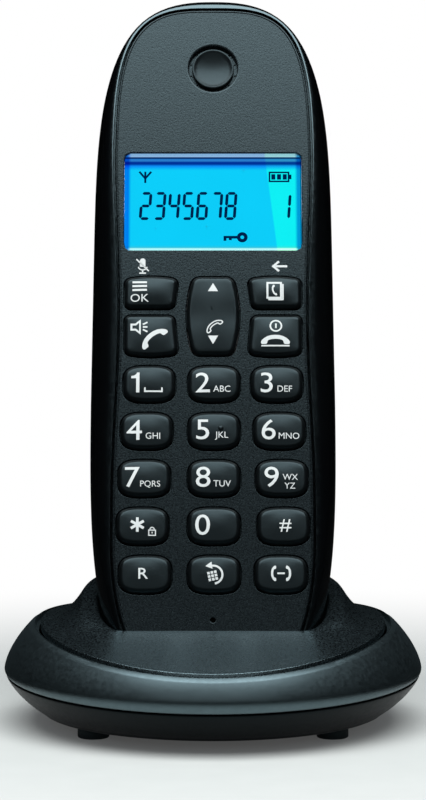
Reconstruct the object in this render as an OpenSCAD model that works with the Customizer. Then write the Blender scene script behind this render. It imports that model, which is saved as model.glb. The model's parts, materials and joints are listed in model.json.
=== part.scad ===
// Cordless phone: a handset that stands in its charging base. Millimetres, +Z up.
// The keys face -Y, +X is on the viewer's right, and the origin lies on the table under the
// middle of the whole object. Handset pieces are drawn in the handset's own frame, which
// in_handset() puts in place: x across, y into the back from the front face, z from the bottom
// end to the top.

/* [Handset] */
// Length of the handset from its bottom end to its top
handset_len = 148; // [140:1:180]
// Widest part of the handset
handset_w = 51; // [49:0.5:62]
// Thickness from the front face to the battery door
handset_t = 25; // [24.5:0.5:30]
// Wall of the handset's covers
wall = 1.8; // [1.4:0.1:2.2]
// Lean of the handset from upright, in degrees
lean = 20; // [15:1:22]
// Width of the front cover at its waist
face_waist = 39.4; // [37:0.2:41]
// Groove between the front cover and the rear cover's rim
face_groove = 0.3; // [0.2:0.05:0.5]
// Thickness of the front cover
face_t = 1.6; // [1.2:0.1:2]
// Level of the battery door's lower edge above the bottom end
door_low = 31; // [30:0.5:34]
// Level of the battery door's upper edge above the bottom end
door_high = 74; // [73.5:0.5:80]
// Depth at which the battery door's side edges lie
door_depth = 6.5; // [5:0.5:8]
// Thickness of the battery door
door_t = 1.6; // [1.2:0.1:2]
// Gap round the battery door
door_gap = 0.25; // [0.15:0.05:0.4]

/* [Window and sound] */
// Width of the display window
window_w = 37; // [34:0.5:38]
// Height of the display window
window_h = 21.3; // [18:0.1:22]
// Distance from the handset's top to the middle of the window
window_drop = 45.7; // [44:0.1:50]
// Distance from the handset's top to the middle of the earpiece
ear_drop = 16; // [15:0.5:18]
// Radius of the round recess of the earpiece
ear_r = 5.55; // [5:0.05:6.5]
// Radius of the plain disc in the earpiece recess
disc_r = 4.45; // [3.5:0.05:4.8]
// Radius of the earpiece speaker
speaker_r = 9; // [7:0.5:10]
// Radius of the loudspeaker
loud_r = 10; // [8:0.5:11]
// Height of the microphone hole above the bottom end
mic_s = 13.3; // [12.5:0.1:14]

/* [Keys] */
// Width of a number key
key_w = 10.6; // [9.6:0.1:11]
// Height of a number key
key_h = 7.8; // [6.6:0.1:8.2]
// Step from one row of number keys to the next
row_pitch = 9.97; // [9.5:0.01:10.4]
// Distance from the window's middle down to the first row of number keys
row_drop = 39.8; // [39.5:0.1:44]
// Width of the four keys beside the rocker
soft_w = 11.1; // [10:0.1:11.6]
// Height of the two upper keys
soft_h = 7; // [6:0.1:7.4]
// Height of the talk and end keys
call_h = 8.9; // [8:0.1:9.1]
// Distance of those four keys from the middle
soft_x = 12.75; // [12.5:0.05:13.2]
// How much wider the two upper keys are at their upper edge, and the talk and end keys at their lower
key_flare = 0.8; // [0:0.1:1.2]
// Rise of the bowed edge of those four keys
key_bow = 0.6; // [0:0.1:1]
// Width of the up and down rocker
rocker_w = 10.8; // [9:0.1:11.4]
// How much narrower the rocker is at its ends
rocker_taper = 2.6; // [0:0.1:3]
// Height of the up and down rocker
rocker_h = 16.9; // [15:0.1:17.5]
// Height of the keys above the front face
key_rise = 1.3; // [0.8:0.1:1.8]
// Gap round each key
key_gap = 0.25; // [0.15:0.05:0.4]
// Travel of a key
key_travel = 0.6; // [0.4:0.1:0.8]

/* [Cells and board] */
// Radius of an AAA cell
cell_r = 5.2; // [5:0.05:5.25]
// Length of an AAA cell's can
cell_len = 43.7; // [43:0.1:44]
// Depth of the board's front below the front face
board_n = 4; // [3.9:0.1:4.6]
// Thickness of the circuit boards
board_t = 1.2; // [0.8:0.1:1.6]

/* [Base] */
// Largest radius of the base
base_r = 43; // [40:0.5:60]
// Height of the feet
foot_h = 2.2; // [1.5:0.1:3]
// Radius of a foot
foot_r = 3.2; // [2.5:0.1:3.6]
// Wall of the base's covers
base_wall = 1.8; // [1.4:0.1:2.2]
// Highest level of the base's top surface
top_z = 21.7; // [21:0.1:23]
// Radius of the arch of the top surface, seen from the side
top_radius = 230; // [180:5:300]
// How far the top of that arch lies behind the base's middle
top_back = 10; // [6:1:14]
// Level of the lower seam at the front
seam_z = 8.6; // [8:0.1:9.4]
// Slope of the lower seam, rising to the back, in degrees
seam_tilt = 2.6; // [0:0.1:3]
// Gap between the top cover and the band
seam_gap = 0.3; // [0.2:0.05:0.5]

/* [Pocket] */
// Level of the handset's bottom end, at its front edge
pocket_z = 10.76; // [10.7:0.1:12]
// How far that edge lies in front of the base's middle
pocket_front = 20.8; // [20:0.1:22]
// Gap between the handset and its pocket
pocket_gap = 0.4; // [0.3:0.05:0.5]
// Wall of the pocket
pocket_wall = 1.6; // [1.2:0.1:1.8]
// Level of the pocket's front lip
lip_z = 21.6; // [21:0.1:22.4]
// Slope of the pocket's rim, rising to the back, in degrees
rim_tilt = 13; // [8:1:15]

/* [Sockets and paging button] */
// Distance of each socket from the middle
socket_x = 12; // [11.8:0.1:13]
// Outer width of a socket
socket_w = 11.6; // [10.5:0.1:12]
// Outer height of a socket
socket_h = 9.6; // [9:0.1:10]
// Depth of a socket
socket_depth = 13; // [11:0.5:14]
// Opening of a socket: width and height
socket_mouth = [9.4, 6.8];
// Radius of the paging button
page_r = 2.4; // [2:0.1:2.4]
// Distance of the paging button's middle below the top surface at the base's back edge
page_drop = 3.72; // [3.6:0.02:3.8]
// Travel of the paging button
page_travel = 0.8; // [0.5:0.1:0.8]

/* [Hidden] */
$fn = 96;
far = 200; // longer than any piece, for cuts that run right through

// Side profile of the handset: the round of its upper back and of its lower back
top_round_len = 24;
top_round_from = 8;
foot_round_len = 14;
foot_round_from = 10;

// Places worked out from the sizes above
handset_reach = -pocket_front + (handset_len - top_round_len) * sin(lean) + top_round_from * cos(lean)
    + norm([top_round_len * sin(lean), (handset_t - top_round_from) * cos(lean)]);
base_y = (base_r - handset_reach) / 2;
window_s = handset_len - window_drop;
ear_s = handset_len - ear_drop;
soft_s = window_s - 20.1;
call_s = window_s - 29.5;
rocker_s = window_s - 25.2;
cell_low = 27.4;
bay_low = cell_low - 2.6;
bay_high = cell_low + cell_len + 2.2;
bay_half = 2 * cell_r + 0.8;
cell_n = handset_t - wall - 7;
tray_n = cell_n - cell_r - 0.4;
tray_wall = 1.4;
seat_gap = 0.3; // between the battery door and the wall that it lies on
flange_n = face_t + 0.15;
key_back = flange_n + 0.45;
dome_n = key_back + key_travel + 0.1; // front of the mat's bosses, clear of a pressed key
mat_n = dome_n + 0.4;
key_corner = 1.3;
lip_in = 0.45; // how far the front cover's inner lip reaches in from its edge
screw_x = 15;
screw_s = window_s + window_h / 2 + 6.1;
contact_x = 10; // the charging contacts' distance from the middle
contact_s = 17.5; // and their level above the handset's bottom end
inner_floor = foot_h + base_wall;
base_board_z = inner_floor + 2.2;
board_top = base_board_z + board_t;
belly_z = 11.3; // level at which the base is widest
band_wall = 2;
// Depth from the base's middle at which a socket's outer corners would touch the band
band_inside = base_radius_at(board_top + socket_h) - band_wall;
socket_reach = sqrt(pow(band_inside, 2) - pow(socket_x + socket_w / 2, 2));
socket_back = base_y + socket_reach - 0.68;
board_front = base_y - pocket_front + handset_t + 3.8;
main_board_half = handset_w / 2 - wall - 5.2;
main_board_low = 6.4 + 2 * wall;
back_edge_z = top_z - top_radius + sqrt(pow(top_radius, 2) - pow(base_r - top_back, 2));
page_z = back_edge_z - page_drop;
face_at_lip = base_y - pocket_front + (lip_z - pocket_z) * tan(lean); // where the front face passes the lip
rim_front_y = face_at_lip - pocket_gap - 0.25;
collar_y = face_at_lip + 0.6 * handset_t;
// Rings on which the feet and the screws lie, and their angles behind the base's middle
foot_ring = base_r - 12.6;
foot_angles = [-38, 56];
screw_ring = base_r - 12;
screw_angles = [-17, 42];
key_columns = [13.1, 13.55, 14.0, 14.3, 13.7]; // the side columns' distance from the middle, by row
grid_names = [
    ["key_1", "key_2", "key_3"],
    ["key_4", "key_5", "key_6"],
    ["key_7", "key_8", "key_9"],
    ["key_star", "key_0", "key_hash"],
    ["key_recall", "key_redial", "key_intercom"]
];

// Each key: name, x, s, width, height, outline
KEYS = concat(
    [
        ["key_menu", -soft_x, soft_s, soft_w, soft_h, "upper"],
        ["key_phone_book", soft_x, soft_s, soft_w, soft_h, "upper"],
        ["key_talk", -soft_x, call_s, soft_w, call_h, "lower"],
        ["key_end", soft_x, call_s, soft_w, call_h, "lower"],
        ["key_rocker", 0, rocker_s, rocker_w, rocker_h, "barrel"]
    ],
    [for (i = [0:4]) for (j = [0:2])
        [grid_names[i][j], (j - 1) * key_columns[i], window_s - row_drop - i * row_pitch + (j == 1 ? 0.2 : 0),
            key_w, key_h, "pillow"]]
);

// ---- Outlines of the handset ----

// 1 up to the start of a rounded end, falling to 0 where t reaches 1
function end_round(t, p, q) = t <= 0 ? 1 : pow(max(0, 1 - pow(t, p)), 1 / q);
// 0 at the waist, 1 at the given reach from it
function swell(d, reach) = (1 - cos(180 * min(abs(d) / reach, 1))) / 2;

function body_half(s) =
    (handset_w / 2 - 0.009 * max(0, s - 60))
    * end_round((s - handset_len + 69) / 69, 5, 2.54)
    * end_round((60 - s) / 60, 3, 4);

face_low = 1.5;
face_high = handset_len - 2.6;
waist_s = window_s - 26.3;
function face_half(s) =
    (face_waist / 2 + (s < waist_s ? 0.7 * swell(s - waist_s, 35) : 1.1 * swell(s - waist_s, 40)))
    * end_round((s - face_high + 45.4) / 45.4, 4.6, 3.1)
    * end_round((30 - s) / (30 - face_low), 2, 4);

// Levels from low to high, closer together at both ends
function levels(low, high, n) = [for (i = [0:n]) low + (high - low) * (1 - cos(180 * i / n)) / 2];

module body_outline() {
    rising = levels(0, handset_len, 32);
    polygon(concat([for (s = rising) [body_half(s), s]],
                   [for (i = [31:-1:1]) [-body_half(rising[i]), rising[i]]]));
}

module face_outline() {
    rising = levels(face_low, face_high, 32);
    polygon(concat([for (s = rising) [face_half(s), s]],
                   [for (i = [31:-1:1]) [-face_half(rising[i]), rising[i]]]));
}

// Seen from the side: depth, then height
module side_profile() {
    polygon(concat(
        [[0, 1.5], [0, handset_len - 1.2], [1.2, handset_len]],
        [for (a = [0:9:90]) [top_round_from + (handset_t - top_round_from) * sin(a),
                             handset_len - top_round_len + top_round_len * cos(a)]],
        [for (a = [90:-9:0]) [foot_round_from + (handset_t - foot_round_from) * sin(a),
                              foot_round_len - foot_round_len * cos(a)]],
        [[1.5, 0]]));
}

// Seen from the end: across, then depth
front_half = face_waist / 2 + 1.8;
front_round = 10;
back_flat_half = 13;
back_round_from = 13;
function section_side() = concat(
    [for (a = [0:10:90]) [front_half + (handset_w / 2 - front_half) * sin(a), front_round * (1 - cos(a))]],
    [for (a = [0:10:90]) [back_flat_half + (handset_w / 2 - back_flat_half) * cos(a),
                          back_round_from + (handset_t - back_round_from) * sin(a)]]);
module cross_section() {
    right = section_side();
    polygon(concat(right, [for (i = [len(right) - 1:-1:0]) [-right[i][0], right[i][1]]]));
}

// ---- Tools for placing ----

module in_handset() {
    translate([0, base_y - pocket_front, pocket_z]) rotate([-lean, 0, 0]) children();
}

// A flat shape drawn in x and s, from depth n0 to depth n1
module plate(n0, n1) {
    translate([0, n1, 0]) rotate([90, 0, 0]) linear_extrude(n1 - n0) children();
}

// A round pin or hole along the depth
module bore(x, s, r, n0, n1) {
    translate([x, n1, s]) rotate([90, 0, 0]) cylinder(r = r, h = n1 - n0);
}

// The handset's outer form, drawn in by inset, or grown where inset is below 0
module body_form(inset) {
    intersection() {
        plate(-5, handset_t + 5) offset(delta = -inset) body_outline();
        translate([-far / 2, 0, 0]) rotate([90, 0, 90]) linear_extrude(far)
            offset(delta = -inset) side_profile();
        translate([0, 0, -10]) linear_extrude(handset_len + 20)
            offset(delta = -inset) cross_section();
    }
}

module door_zone(grow) {
    translate([-far / 2, door_depth - grow, door_low - grow])
        cube([far, far, door_high - door_low + 2 * grow]);
}

function rounded_point(a, w, h, p) =
    [w / 2 * sign(cos(a)) * pow(abs(cos(a)), 2 / p), h / 2 * sign(sin(a)) * pow(abs(sin(a)), 2 / p)];
// A rounded rectangle whose sides bulge a little
module pillow(w, h, p = 4) {
    polygon([for (a = [0:7.5:352.5]) rounded_point(a, w, h, p)]);
}

// Right half of the rocker's barrel outline, from its lower end to its upper end
function barrel_side(w, h) = [for (t = [-1:0.125:1]) [w / 2 - rocker_taper / 2 * t * t, h / 2 * t]];
// Bowed edge of a key, from its inner end to its outer end
function bowed_edge(w, h) = [for (t = [1:-0.125:-1]) [w / 2 * t, h / 2 - key_bow * t * t]];

// Outline of a key about its own middle, grown all round
module key_outline(k, grow = 0, taller = 0) {
    w = k[3];
    h = k[4] + taller;
    if (k[5] == "pillow") pillow(w + 2 * grow, h + 2 * grow);
    else offset(r = key_corner + grow) offset(delta = -key_corner) {
        if (k[5] == "barrel")
            polygon(concat(barrel_side(w, h), [for (p = barrel_side(w, h)) [-p[0], -p[1]]]));
        else scale([k[1] < 0 ? 1 : -1, k[5] == "upper" ? 1 : -1])
            polygon(concat([[-w / 2, -h / 2], [w / 2 - key_flare, -h / 2]], bowed_edge(w, h)));
    }
}

module rounded_box(w, h, r) {
    offset(r = r) square([w - 2 * r, h - 2 * r], center = true);
}

// ---- Handset: covers ----

module front_cover() color([0.16, 0.19, 0.2]) in_handset() difference() {
    union() {
        plate(0, face_t) face_outline();
        plate(face_t - 0.1, wall + 0.1) difference() {
            face_outline();
            offset(delta = -lip_in) face_outline();
        }
        intersection() {
            plate(wall, wall + 1) difference() {
                offset(delta = 0.6) face_outline();
                offset(delta = -lip_in) face_outline();
            }
            body_form(wall + 0.1);
        }
        for (x = [-screw_x, screw_x]) bore(x, screw_s, 2.7, face_t - 0.2, 12);
    }
    plate(-1, face_t - 0.4) translate([0, window_s]) rounded_box(window_w + 0.2, window_h + 0.2, 1.3);
    plate(-1, far) translate([0, window_s]) rounded_box(window_w - 2, window_h - 2, 0.8);
    for (k = KEYS) plate(-1, far) translate([k[1], k[2]]) key_outline(k, key_gap);
    bore(0, ear_s, ear_r, -1, 1);
    for (i = [0:11])
        bore(5 * sin(30 * i), ear_s + 5 * cos(30 * i), 0.35, -1, far);
    bore(0, mic_s, 0.55, -1, far);
    for (x = [-screw_x, screw_x]) bore(x, screw_s, 1.05, 4, far);
}

module rear_cover() color([0.05, 0.06, 0.07]) in_handset() {
    difference() {
        union() {
            difference() {
                body_form(0);
                body_form(wall + door_t);
                difference() {
                    body_form(wall);
                    door_zone(1.5);
                }
                difference() {
                    door_zone(0);
                    body_form(door_t + seat_gap);
                }
            }
            intersection() {
                body_form(door_t + 2 * seat_gap);
                battery_tray();
            }
            for (x = [-screw_x, screw_x]) bore(x, screw_s, 3.2, 12.3, handset_t - 0.5 * wall);
        }
        plate(-1, wall + 1.1) offset(delta = face_groove) face_outline();
        translate([-bay_half, tray_n, bay_low])
            cube([2 * bay_half, handset_t - wall - tray_n, bay_high - bay_low]);
        translate([-bay_half, tray_n, door_low]) cube([2 * bay_half, far, bay_high - door_low]);
        for (x = [-contact_x, contact_x])
            translate([x - 2.15, handset_t - 2.5, contact_s - 3.15]) cube([4.3, 5, 6.3]);
        for (x = [-screw_x, screw_x]) {
            bore(x, screw_s, 1.3, 10, far);
            bore(x, screw_s, 2.6, handset_t - 4, far);
        }
        for (i = [-3:3])
            translate([-loud_slot(i), handset_t - 4, window_s + 2 + 2.2 * i - 0.5])
                cube([2 * loud_slot(i), 8, 1]);
    }
}

// Half length of a loudspeaker slot, so that the slots fill a circle
function loud_slot(i) = sqrt(pow(loud_r - 1.5, 2) - pow(2.2 * i, 2)) * 0.95;

module battery_tray() {
    difference() {
        translate([-bay_half - tray_wall, tray_n - tray_wall, bay_low - tray_wall])
            cube([2 * (bay_half + tray_wall), far, bay_high - bay_low + 2 * tray_wall]);
        translate([-bay_half, tray_n, bay_low]) cube([2 * bay_half, far, bay_high - bay_low]);
    }
}

module battery_door() color([0.06, 0.07, 0.08]) in_handset() intersection() {
    difference() {
        body_form(0);
        body_form(door_t);
    }
    door_zone(-door_gap);
}

// ---- Handset: display, board and sound ----

module window() color([0.1, 0.75, 1, 0.5]) in_handset()
    plate(0.2, face_t - 0.4) translate([0, window_s]) rounded_box(window_w, window_h, 1.2);

module display_glass() color([0.1, 0.6, 0.95]) in_handset()
    plate(face_t + 0.1, board_n - 1) translate([0, window_s])
        square([window_w - 1, window_h - 1], center = true);

module display_backlight() color("white") in_handset()
    plate(board_n - 1, board_n) translate([0, window_s]) square([window_w - 1, window_h - 1], center = true);

module display_frame() color([0.85, 0.85, 0.85]) in_handset()
    plate(face_t + 0.1, board_n) translate([0, window_s]) difference() {
        square([window_w + 1.2, window_h + 1.2], center = true);
        square([window_w - 0.6, window_h - 0.6], center = true);
    }

module main_board() color([0.08, 0.35, 0.2]) in_handset() difference() {
    union() {
        plate(board_n, board_n + board_t)
            translate([-main_board_half, main_board_low])
                square([2 * main_board_half, ear_s - speaker_r - 2 - main_board_low]);
        translate([-14, board_n + board_t, window_s - 6]) cube([18, 1.8, 14]);
        translate([7, board_n + board_t, window_s - 4]) cube([7, 1.1, 7]);
    }
    for (x = [-screw_x, screw_x]) bore(x, screw_s, 3.1, 0, far);
}

module keypad_mat() color([0.75, 0.76, 0.78]) in_handset() union() {
    plate(mat_n, board_n) translate([-18.2, mic_s + 3.3]) square([36.4, soft_s + soft_h / 2 - mic_s - 2.1]);
    for (k = KEYS)
        if (k[0] == "key_rocker") for (d = [-5.5, 5.5]) bore(0, k[2] + d, 2.2, dome_n, mat_n + 0.1);
        else bore(k[1], k[2], 2.5, dome_n, mat_n + 0.1);
}

module earpiece_disc() color([0.1, 0.11, 0.12]) in_handset() difference() {
    bore(0, ear_s, disc_r, 0.1, 1);
    translate([0, -24.3, ear_s]) sphere(r = 25, $fn = 300);
}

module earpiece_speaker() color("silver") in_handset() union() {
    bore(0, ear_s, speaker_r, face_t + 0.6, face_t + 3.2);
    bore(0, ear_s, speaker_r * 0.6, face_t + 3.1, face_t + 4.8);
}

module speaker_gasket() color([0.2, 0.2, 0.2]) in_handset() difference() {
    bore(0, ear_s, speaker_r, face_t, face_t + 0.6);
    bore(0, ear_s, speaker_r - 2.5, face_t - 1, face_t + 1.6);
}

module loudspeaker() color([0.3, 0.3, 0.32]) in_handset() union() {
    bore(0, window_s + 2, loud_r, handset_t - wall - 2.6, handset_t - wall);
    bore(0, window_s + 2, loud_r * 0.6, handset_t - wall - 5, handset_t - wall - 2.5);
}

module microphone() color("silver") in_handset()
    bore(0, mic_s, 2, board_n - 1.6, board_n);

module microphone_boot() color([0.15, 0.15, 0.15]) in_handset() difference() {
    bore(0, mic_s, 2.8, face_t, board_n);
    bore(0, mic_s, 2, board_n - 1.6, board_n + 1);
    bore(0, mic_s, 0.8, 0, board_n);
}

// ---- Handset: cells, contacts and screws ----

module battery_cells() color([0.2, 0.45, 0.3]) in_handset() for (side = [-1, 1])
    translate([side * (cell_r + 0.25), cell_n, cell_low]) union() {
        cylinder(r = cell_r, h = cell_len);
        translate([0, 0, side > 0 ? cell_len - 0.1 : -0.8]) cylinder(r = 1.9, h = 0.9);
    }

// One coil spring for each cell, drawn as its close turns
module battery_springs() color("silver") in_handset() for (side = [-1, 1])
    translate([side * (cell_r + 0.25), cell_n, 0])
        translate([0, 0, side > 0 ? bay_low : cell_low + cell_len + 0.05])
            for (i = [0:2]) translate([0, 0, 0.4 + 0.66 * i])
                rotate_extrude() translate([3.2 - 0.5 * i, 0]) circle(r = 0.34, $fn = 24);

module battery_plates() color("silver") in_handset() for (side = [-1, 1])
    translate([side * (cell_r + 0.25), cell_n, 0])
        translate([-3.5, -3.5, side > 0 ? bay_high - 0.4 : bay_low]) cube([7, 7, 0.4]);

module handset_contacts() color([0.85, 0.7, 0.35]) in_handset() for (x = [-contact_x, contact_x]) union() {
    translate([x - 2, handset_t - 0.7, contact_s - 3]) cube([4, 0.7, 6]);
    translate([x - 1, board_n + board_t, contact_s - 3])
        cube([2, handset_t - board_n - board_t - 0.6, 0.4]);
}

module handset_screws() color("silver") in_handset() for (x = [-screw_x, screw_x]) union() {
    difference() {
        bore(x, screw_s, 2.3, handset_t - 4, handset_t - 2.4);
        translate([x - 1.6, handset_t - 3.1, screw_s - 0.3]) cube([3.2, 2, 0.6]);
        translate([x - 0.3, handset_t - 3.1, screw_s - 1.6]) cube([0.6, 2, 3.2]);
    }
    bore(x, screw_s, 1, 6, handset_t - 3.9);
}

// ---- Handset: keys ----

module key_cap(k) color([0.1, 0.11, 0.12]) in_handset() translate([k[1], 0, k[2]]) union() {
    plate(-key_rise, key_back) key_outline(k);
    if (k[0] == "key_rocker")
        plate(flange_n + 0.15, key_back) square([k[3] + 1.2, 4], center = true);
    else
        plate(flange_n, key_back) key_outline(k, 0, 0.9);
}

// ---- Base: shape ----

// Radius of the base's side at height z
function base_radius_at(z) = base_r - 15 + 15
    * pow(1 - pow(abs(z - belly_z) / (z > belly_z ? 14.93 : 11.4), 1.5), 2 / 3);

// The turned body of the base, drawn in by inset, between two levels
module base_body(inset, low, high) {
    steps = 24;
    translate([0, base_y, 0]) rotate_extrude($fn = 180) polygon(concat(
        [[0, low]],
        [for (i = [0:steps]) let (z = low + (high - low) * i / steps) [base_radius_at(z) - inset, z]],
        [[0, high]]));
}

// All that lies under the arched top surface, lowered by drop
module under_top(drop) {
    translate([-far / 2, base_y + top_back, top_z - top_radius]) rotate([0, 90, 0])
        cylinder(r = top_radius - drop, h = far, $fn = 180);
}

module above_seam() {
    translate([-far / 2, base_y - base_r, seam_z]) rotate([seam_tilt, 0, 0]) cube([far, far, 60]);
}

module below_rim() {
    translate([-far / 2, rim_front_y, lip_z]) rotate([rim_tilt, 0, 0])
        translate([0, -far / 2, -far]) cube([far, far, far]);
}

// The flare that carries the pocket's rim, drawn in by inset
module collar(inset) {
    collar_top = lip_z + (collar_y - rim_front_y) * tan(rim_tilt);
    hull() {
        translate([0, collar_y, collar_top - inset]) rotate([rim_tilt, 0, 0])
            translate([0, 0, -0.6]) linear_extrude(0.6)
                pillow(handset_w + 1.6 - 2 * inset, handset_t + 10 - 2 * inset, 3.4);
        translate([0, collar_y, 16]) linear_extrude(0.5)
            pillow(handset_w + 15 - 2 * inset, handset_t + 26 - 2 * inset, 2.6);
    }
}

module socket_windows() {
    for (side = [-1, 1])
        translate([side * socket_x, socket_back + 15.3, board_top + socket_h / 2])
            cube([socket_mouth[0] + 3, 30, 9.8], center = true);
}

module on_ring(r, angles) {
    for (a = angles) for (side = [-1, 1])
        translate([side * r * cos(a), base_y + r * sin(a), 0]) children();
}

// ---- Base: covers ----

module base_top_cover() color([0.2, 0.23, 0.25]) difference() {
    union() {
        difference() {
            union() {
                difference() {
                    intersection() {
                        base_body(band_wall + seam_gap, 12, 25);
                        under_top(0);
                    }
                    under_top(base_wall);
                }
                difference() {
                    collar(0);
                    under_top(base_wall);
                }
            }
            collar(base_wall);
        }
        intersection() {
            in_handset() body_form(-pocket_gap - pocket_wall);
            below_rim();
            collar(0.3);
        }
        intersection() {
            in_handset() body_form(-pocket_gap - pocket_wall);
            translate([-far / 2, -far / 2, 0]) cube([far, far, 17]);
        }
        intersection() {
            on_ring(screw_ring, screw_angles) translate([0, 0, inner_floor + 3.4]) cylinder(r = 3, h = far);
            under_top(0.5);
        }
    }
    in_handset() body_form(-pocket_gap);
    on_ring(screw_ring, screw_angles) cylinder(r = 1.05, h = top_z - 4);
    in_handset() for (x = [-contact_x, contact_x])
        translate([x - 1.9, handset_t - 1, contact_s - 4.5]) cube([3.8, 4.5, 8]);
}

module base_band() color([0.12, 0.14, 0.15]) difference() {
    intersection() {
        base_body(0, 6, 25);
        above_seam();
        under_top(0);
    }
    base_body(band_wall, 5, 25.6);
    socket_windows();
    translate([0, base_y, page_z]) rotate([-90, 0, 0]) cylinder(r = page_r + 0.25, h = far);
}

module base_bottom_cover() color([0.1, 0.11, 0.12]) difference() {
    union() {
        difference() {
            base_body(0, foot_h, 16);
            above_seam();
            base_body(base_wall, inner_floor, 16.2);
        }
        on_ring(screw_ring, screw_angles)
            translate([0, 0, foot_h + 0.5]) cylinder(r = 3.2, h = base_wall + 2.9);
        for (x = [-14, 14]) for (y = [2.5, socket_back - board_front - 3])
            translate([x, board_front + y, foot_h + 0.5]) cylinder(r = 2, h = base_board_z - foot_h - 0.5);
    }
    socket_windows();
    on_ring(screw_ring, screw_angles) {
        cylinder(r = 1.6, h = 20);
        cylinder(r = 2.6, h = foot_h + 2.4);
    }
}

module base_feet() color([0.15, 0.15, 0.15]) on_ring(foot_ring, foot_angles) union() {
    cylinder(r1 = foot_r - 0.4, r2 = foot_r, h = 0.4);
    translate([0, 0, 0.4]) cylinder(r = foot_r, h = foot_h - 0.4);
}

module base_screws() color("silver") on_ring(screw_ring, screw_angles) difference() {
    union() {
        translate([0, 0, foot_h + 1]) cylinder(r = 2.3, h = 1.4);
        translate([0, 0, foot_h + 2.3]) cylinder(r = 1, h = 9);
    }
    translate([-1.6, -0.3, foot_h]) cube([3.2, 0.6, 1.7]);
    translate([-0.3, -1.6, foot_h]) cube([0.6, 3.2, 1.7]);
}

// ---- Base: inside ----

module base_board() color([0.08, 0.35, 0.2]) union() {
    translate([-18, board_front, base_board_z]) cube([36, socket_back - board_front, board_t]);
    translate([-6, board_front + 6, board_top]) cube([8, 8, 1.4]);
}

module base_contacts() color([0.85, 0.7, 0.35]) for (x = [-contact_x, contact_x]) {
    back = handset_t + pocket_gap + pocket_wall + 0.3;
    s = contact_s;
    union() {
        translate([x - 1.5, board_front - 1.2, board_top]) cube([3, 5.2, 0.4]);
        in_handset() translate([x - 1.5, 0, 0]) rotate([90, 0, 90]) linear_extrude(3) polygon([
            [back, s - 11], [back, s - 4], [handset_t + 0.25, s - 0.6], [handset_t + 0.25, s + 0.6],
            [back, s + 3], [back + 0.4, s + 3.2], [handset_t + 0.7, s + 0.4], [handset_t + 0.7, s - 0.4],
            [back + 0.4, s - 3.8], [back + 0.4, s - 11]]);
    }
}

module socket(x) {
    translate([x, socket_back - socket_depth, board_top]) difference() {
        translate([-socket_w / 2, 0, 0]) cube([socket_w, socket_depth, socket_h]);
        translate([-socket_mouth[0] / 2, 1.6, (socket_h - socket_mouth[1]) / 2])
            cube([socket_mouth[0], socket_depth, socket_mouth[1]]);
    }
}

module line_socket() color([0.25, 0.25, 0.27]) socket(-socket_x);
module power_socket() color([0.25, 0.25, 0.27]) socket(socket_x);

tip = base_y + base_radius_at(page_z) + 0.6; // the paging button's outer end
arm_back = 6.2; // from there in to the front of the arm that meets the switch

module paging_button() color([0.25, 0.27, 0.28]) union() {
    translate([0, tip - 5, page_z]) rotate([-90, 0, 0]) cylinder(r = page_r, h = 5);
    translate([-1.7, tip - arm_back, board_top + 1.2]) cube([3.4, 1.3, page_z + 2 - board_top - 1.2]);
}

module paging_switch() color([0.35, 0.35, 0.36]) {
    knob = tip - arm_back - page_travel - 0.1;
    union() {
        translate([-2.2, knob - 3.5, board_top]) cube([4.4, 3, 4]);
        translate([0, knob - 0.6, board_top + 2.4]) rotate([-90, 0, 0]) cylinder(r = 0.8, h = 0.6);
    }
}

front_cover();
rear_cover();
battery_door();
window();
display_glass();
display_backlight();
display_frame();
keypad_mat();
main_board();
earpiece_disc();
earpiece_speaker();
speaker_gasket();
loudspeaker();
microphone();
microphone_boot();
battery_cells();
battery_springs();
battery_plates();
handset_contacts();
handset_screws();
for (k = KEYS) key_cap(k);
base_top_cover();
base_band();
base_bottom_cover();
base_board();
base_contacts();
line_socket();
power_socket();
paging_button();
paging_switch();
base_feet();
base_screws();
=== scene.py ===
import json
from math import copysign, cos, dist, exp, hypot, pi, radians, sin, sqrt, tan

import bmesh
import bpy
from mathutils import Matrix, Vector
from mathutils.bvhtree import BVHTree
from mathutils.geometry import tessellate_polygon


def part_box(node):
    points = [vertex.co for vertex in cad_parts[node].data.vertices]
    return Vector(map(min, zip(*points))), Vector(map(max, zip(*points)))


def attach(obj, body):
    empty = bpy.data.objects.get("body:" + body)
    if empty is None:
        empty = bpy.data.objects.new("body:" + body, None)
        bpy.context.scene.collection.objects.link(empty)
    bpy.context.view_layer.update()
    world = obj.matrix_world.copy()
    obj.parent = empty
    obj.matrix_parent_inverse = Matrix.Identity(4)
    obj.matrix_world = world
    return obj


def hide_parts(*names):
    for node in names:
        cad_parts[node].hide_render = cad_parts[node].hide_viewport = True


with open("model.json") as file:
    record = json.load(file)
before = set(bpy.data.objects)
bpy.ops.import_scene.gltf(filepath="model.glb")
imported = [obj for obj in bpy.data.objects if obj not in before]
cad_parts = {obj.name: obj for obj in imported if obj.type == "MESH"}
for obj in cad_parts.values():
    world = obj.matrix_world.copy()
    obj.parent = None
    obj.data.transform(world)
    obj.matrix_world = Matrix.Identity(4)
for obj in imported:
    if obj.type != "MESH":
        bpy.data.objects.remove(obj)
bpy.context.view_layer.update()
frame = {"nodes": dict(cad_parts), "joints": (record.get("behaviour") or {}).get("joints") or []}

# Cordless phone in its charging base. Sizes are in millimetres; inHandset() and inBase() turn
# them into metres at their place in the frame.

mm = 0.001
axisOf = {joint["name"]: Vector(joint["axis"]) for joint in frame["joints"]}
up = axisOf["handset_lift"].normalized()          # along the handset, towards its top
deep = axisOf["battery_door_pull"].normalized()   # from its face into its back


def reach(node, axis):
    along = [v.co.dot(axis) for v in frame["nodes"][node].data.vertices]
    return min(along), max(along)


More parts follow.
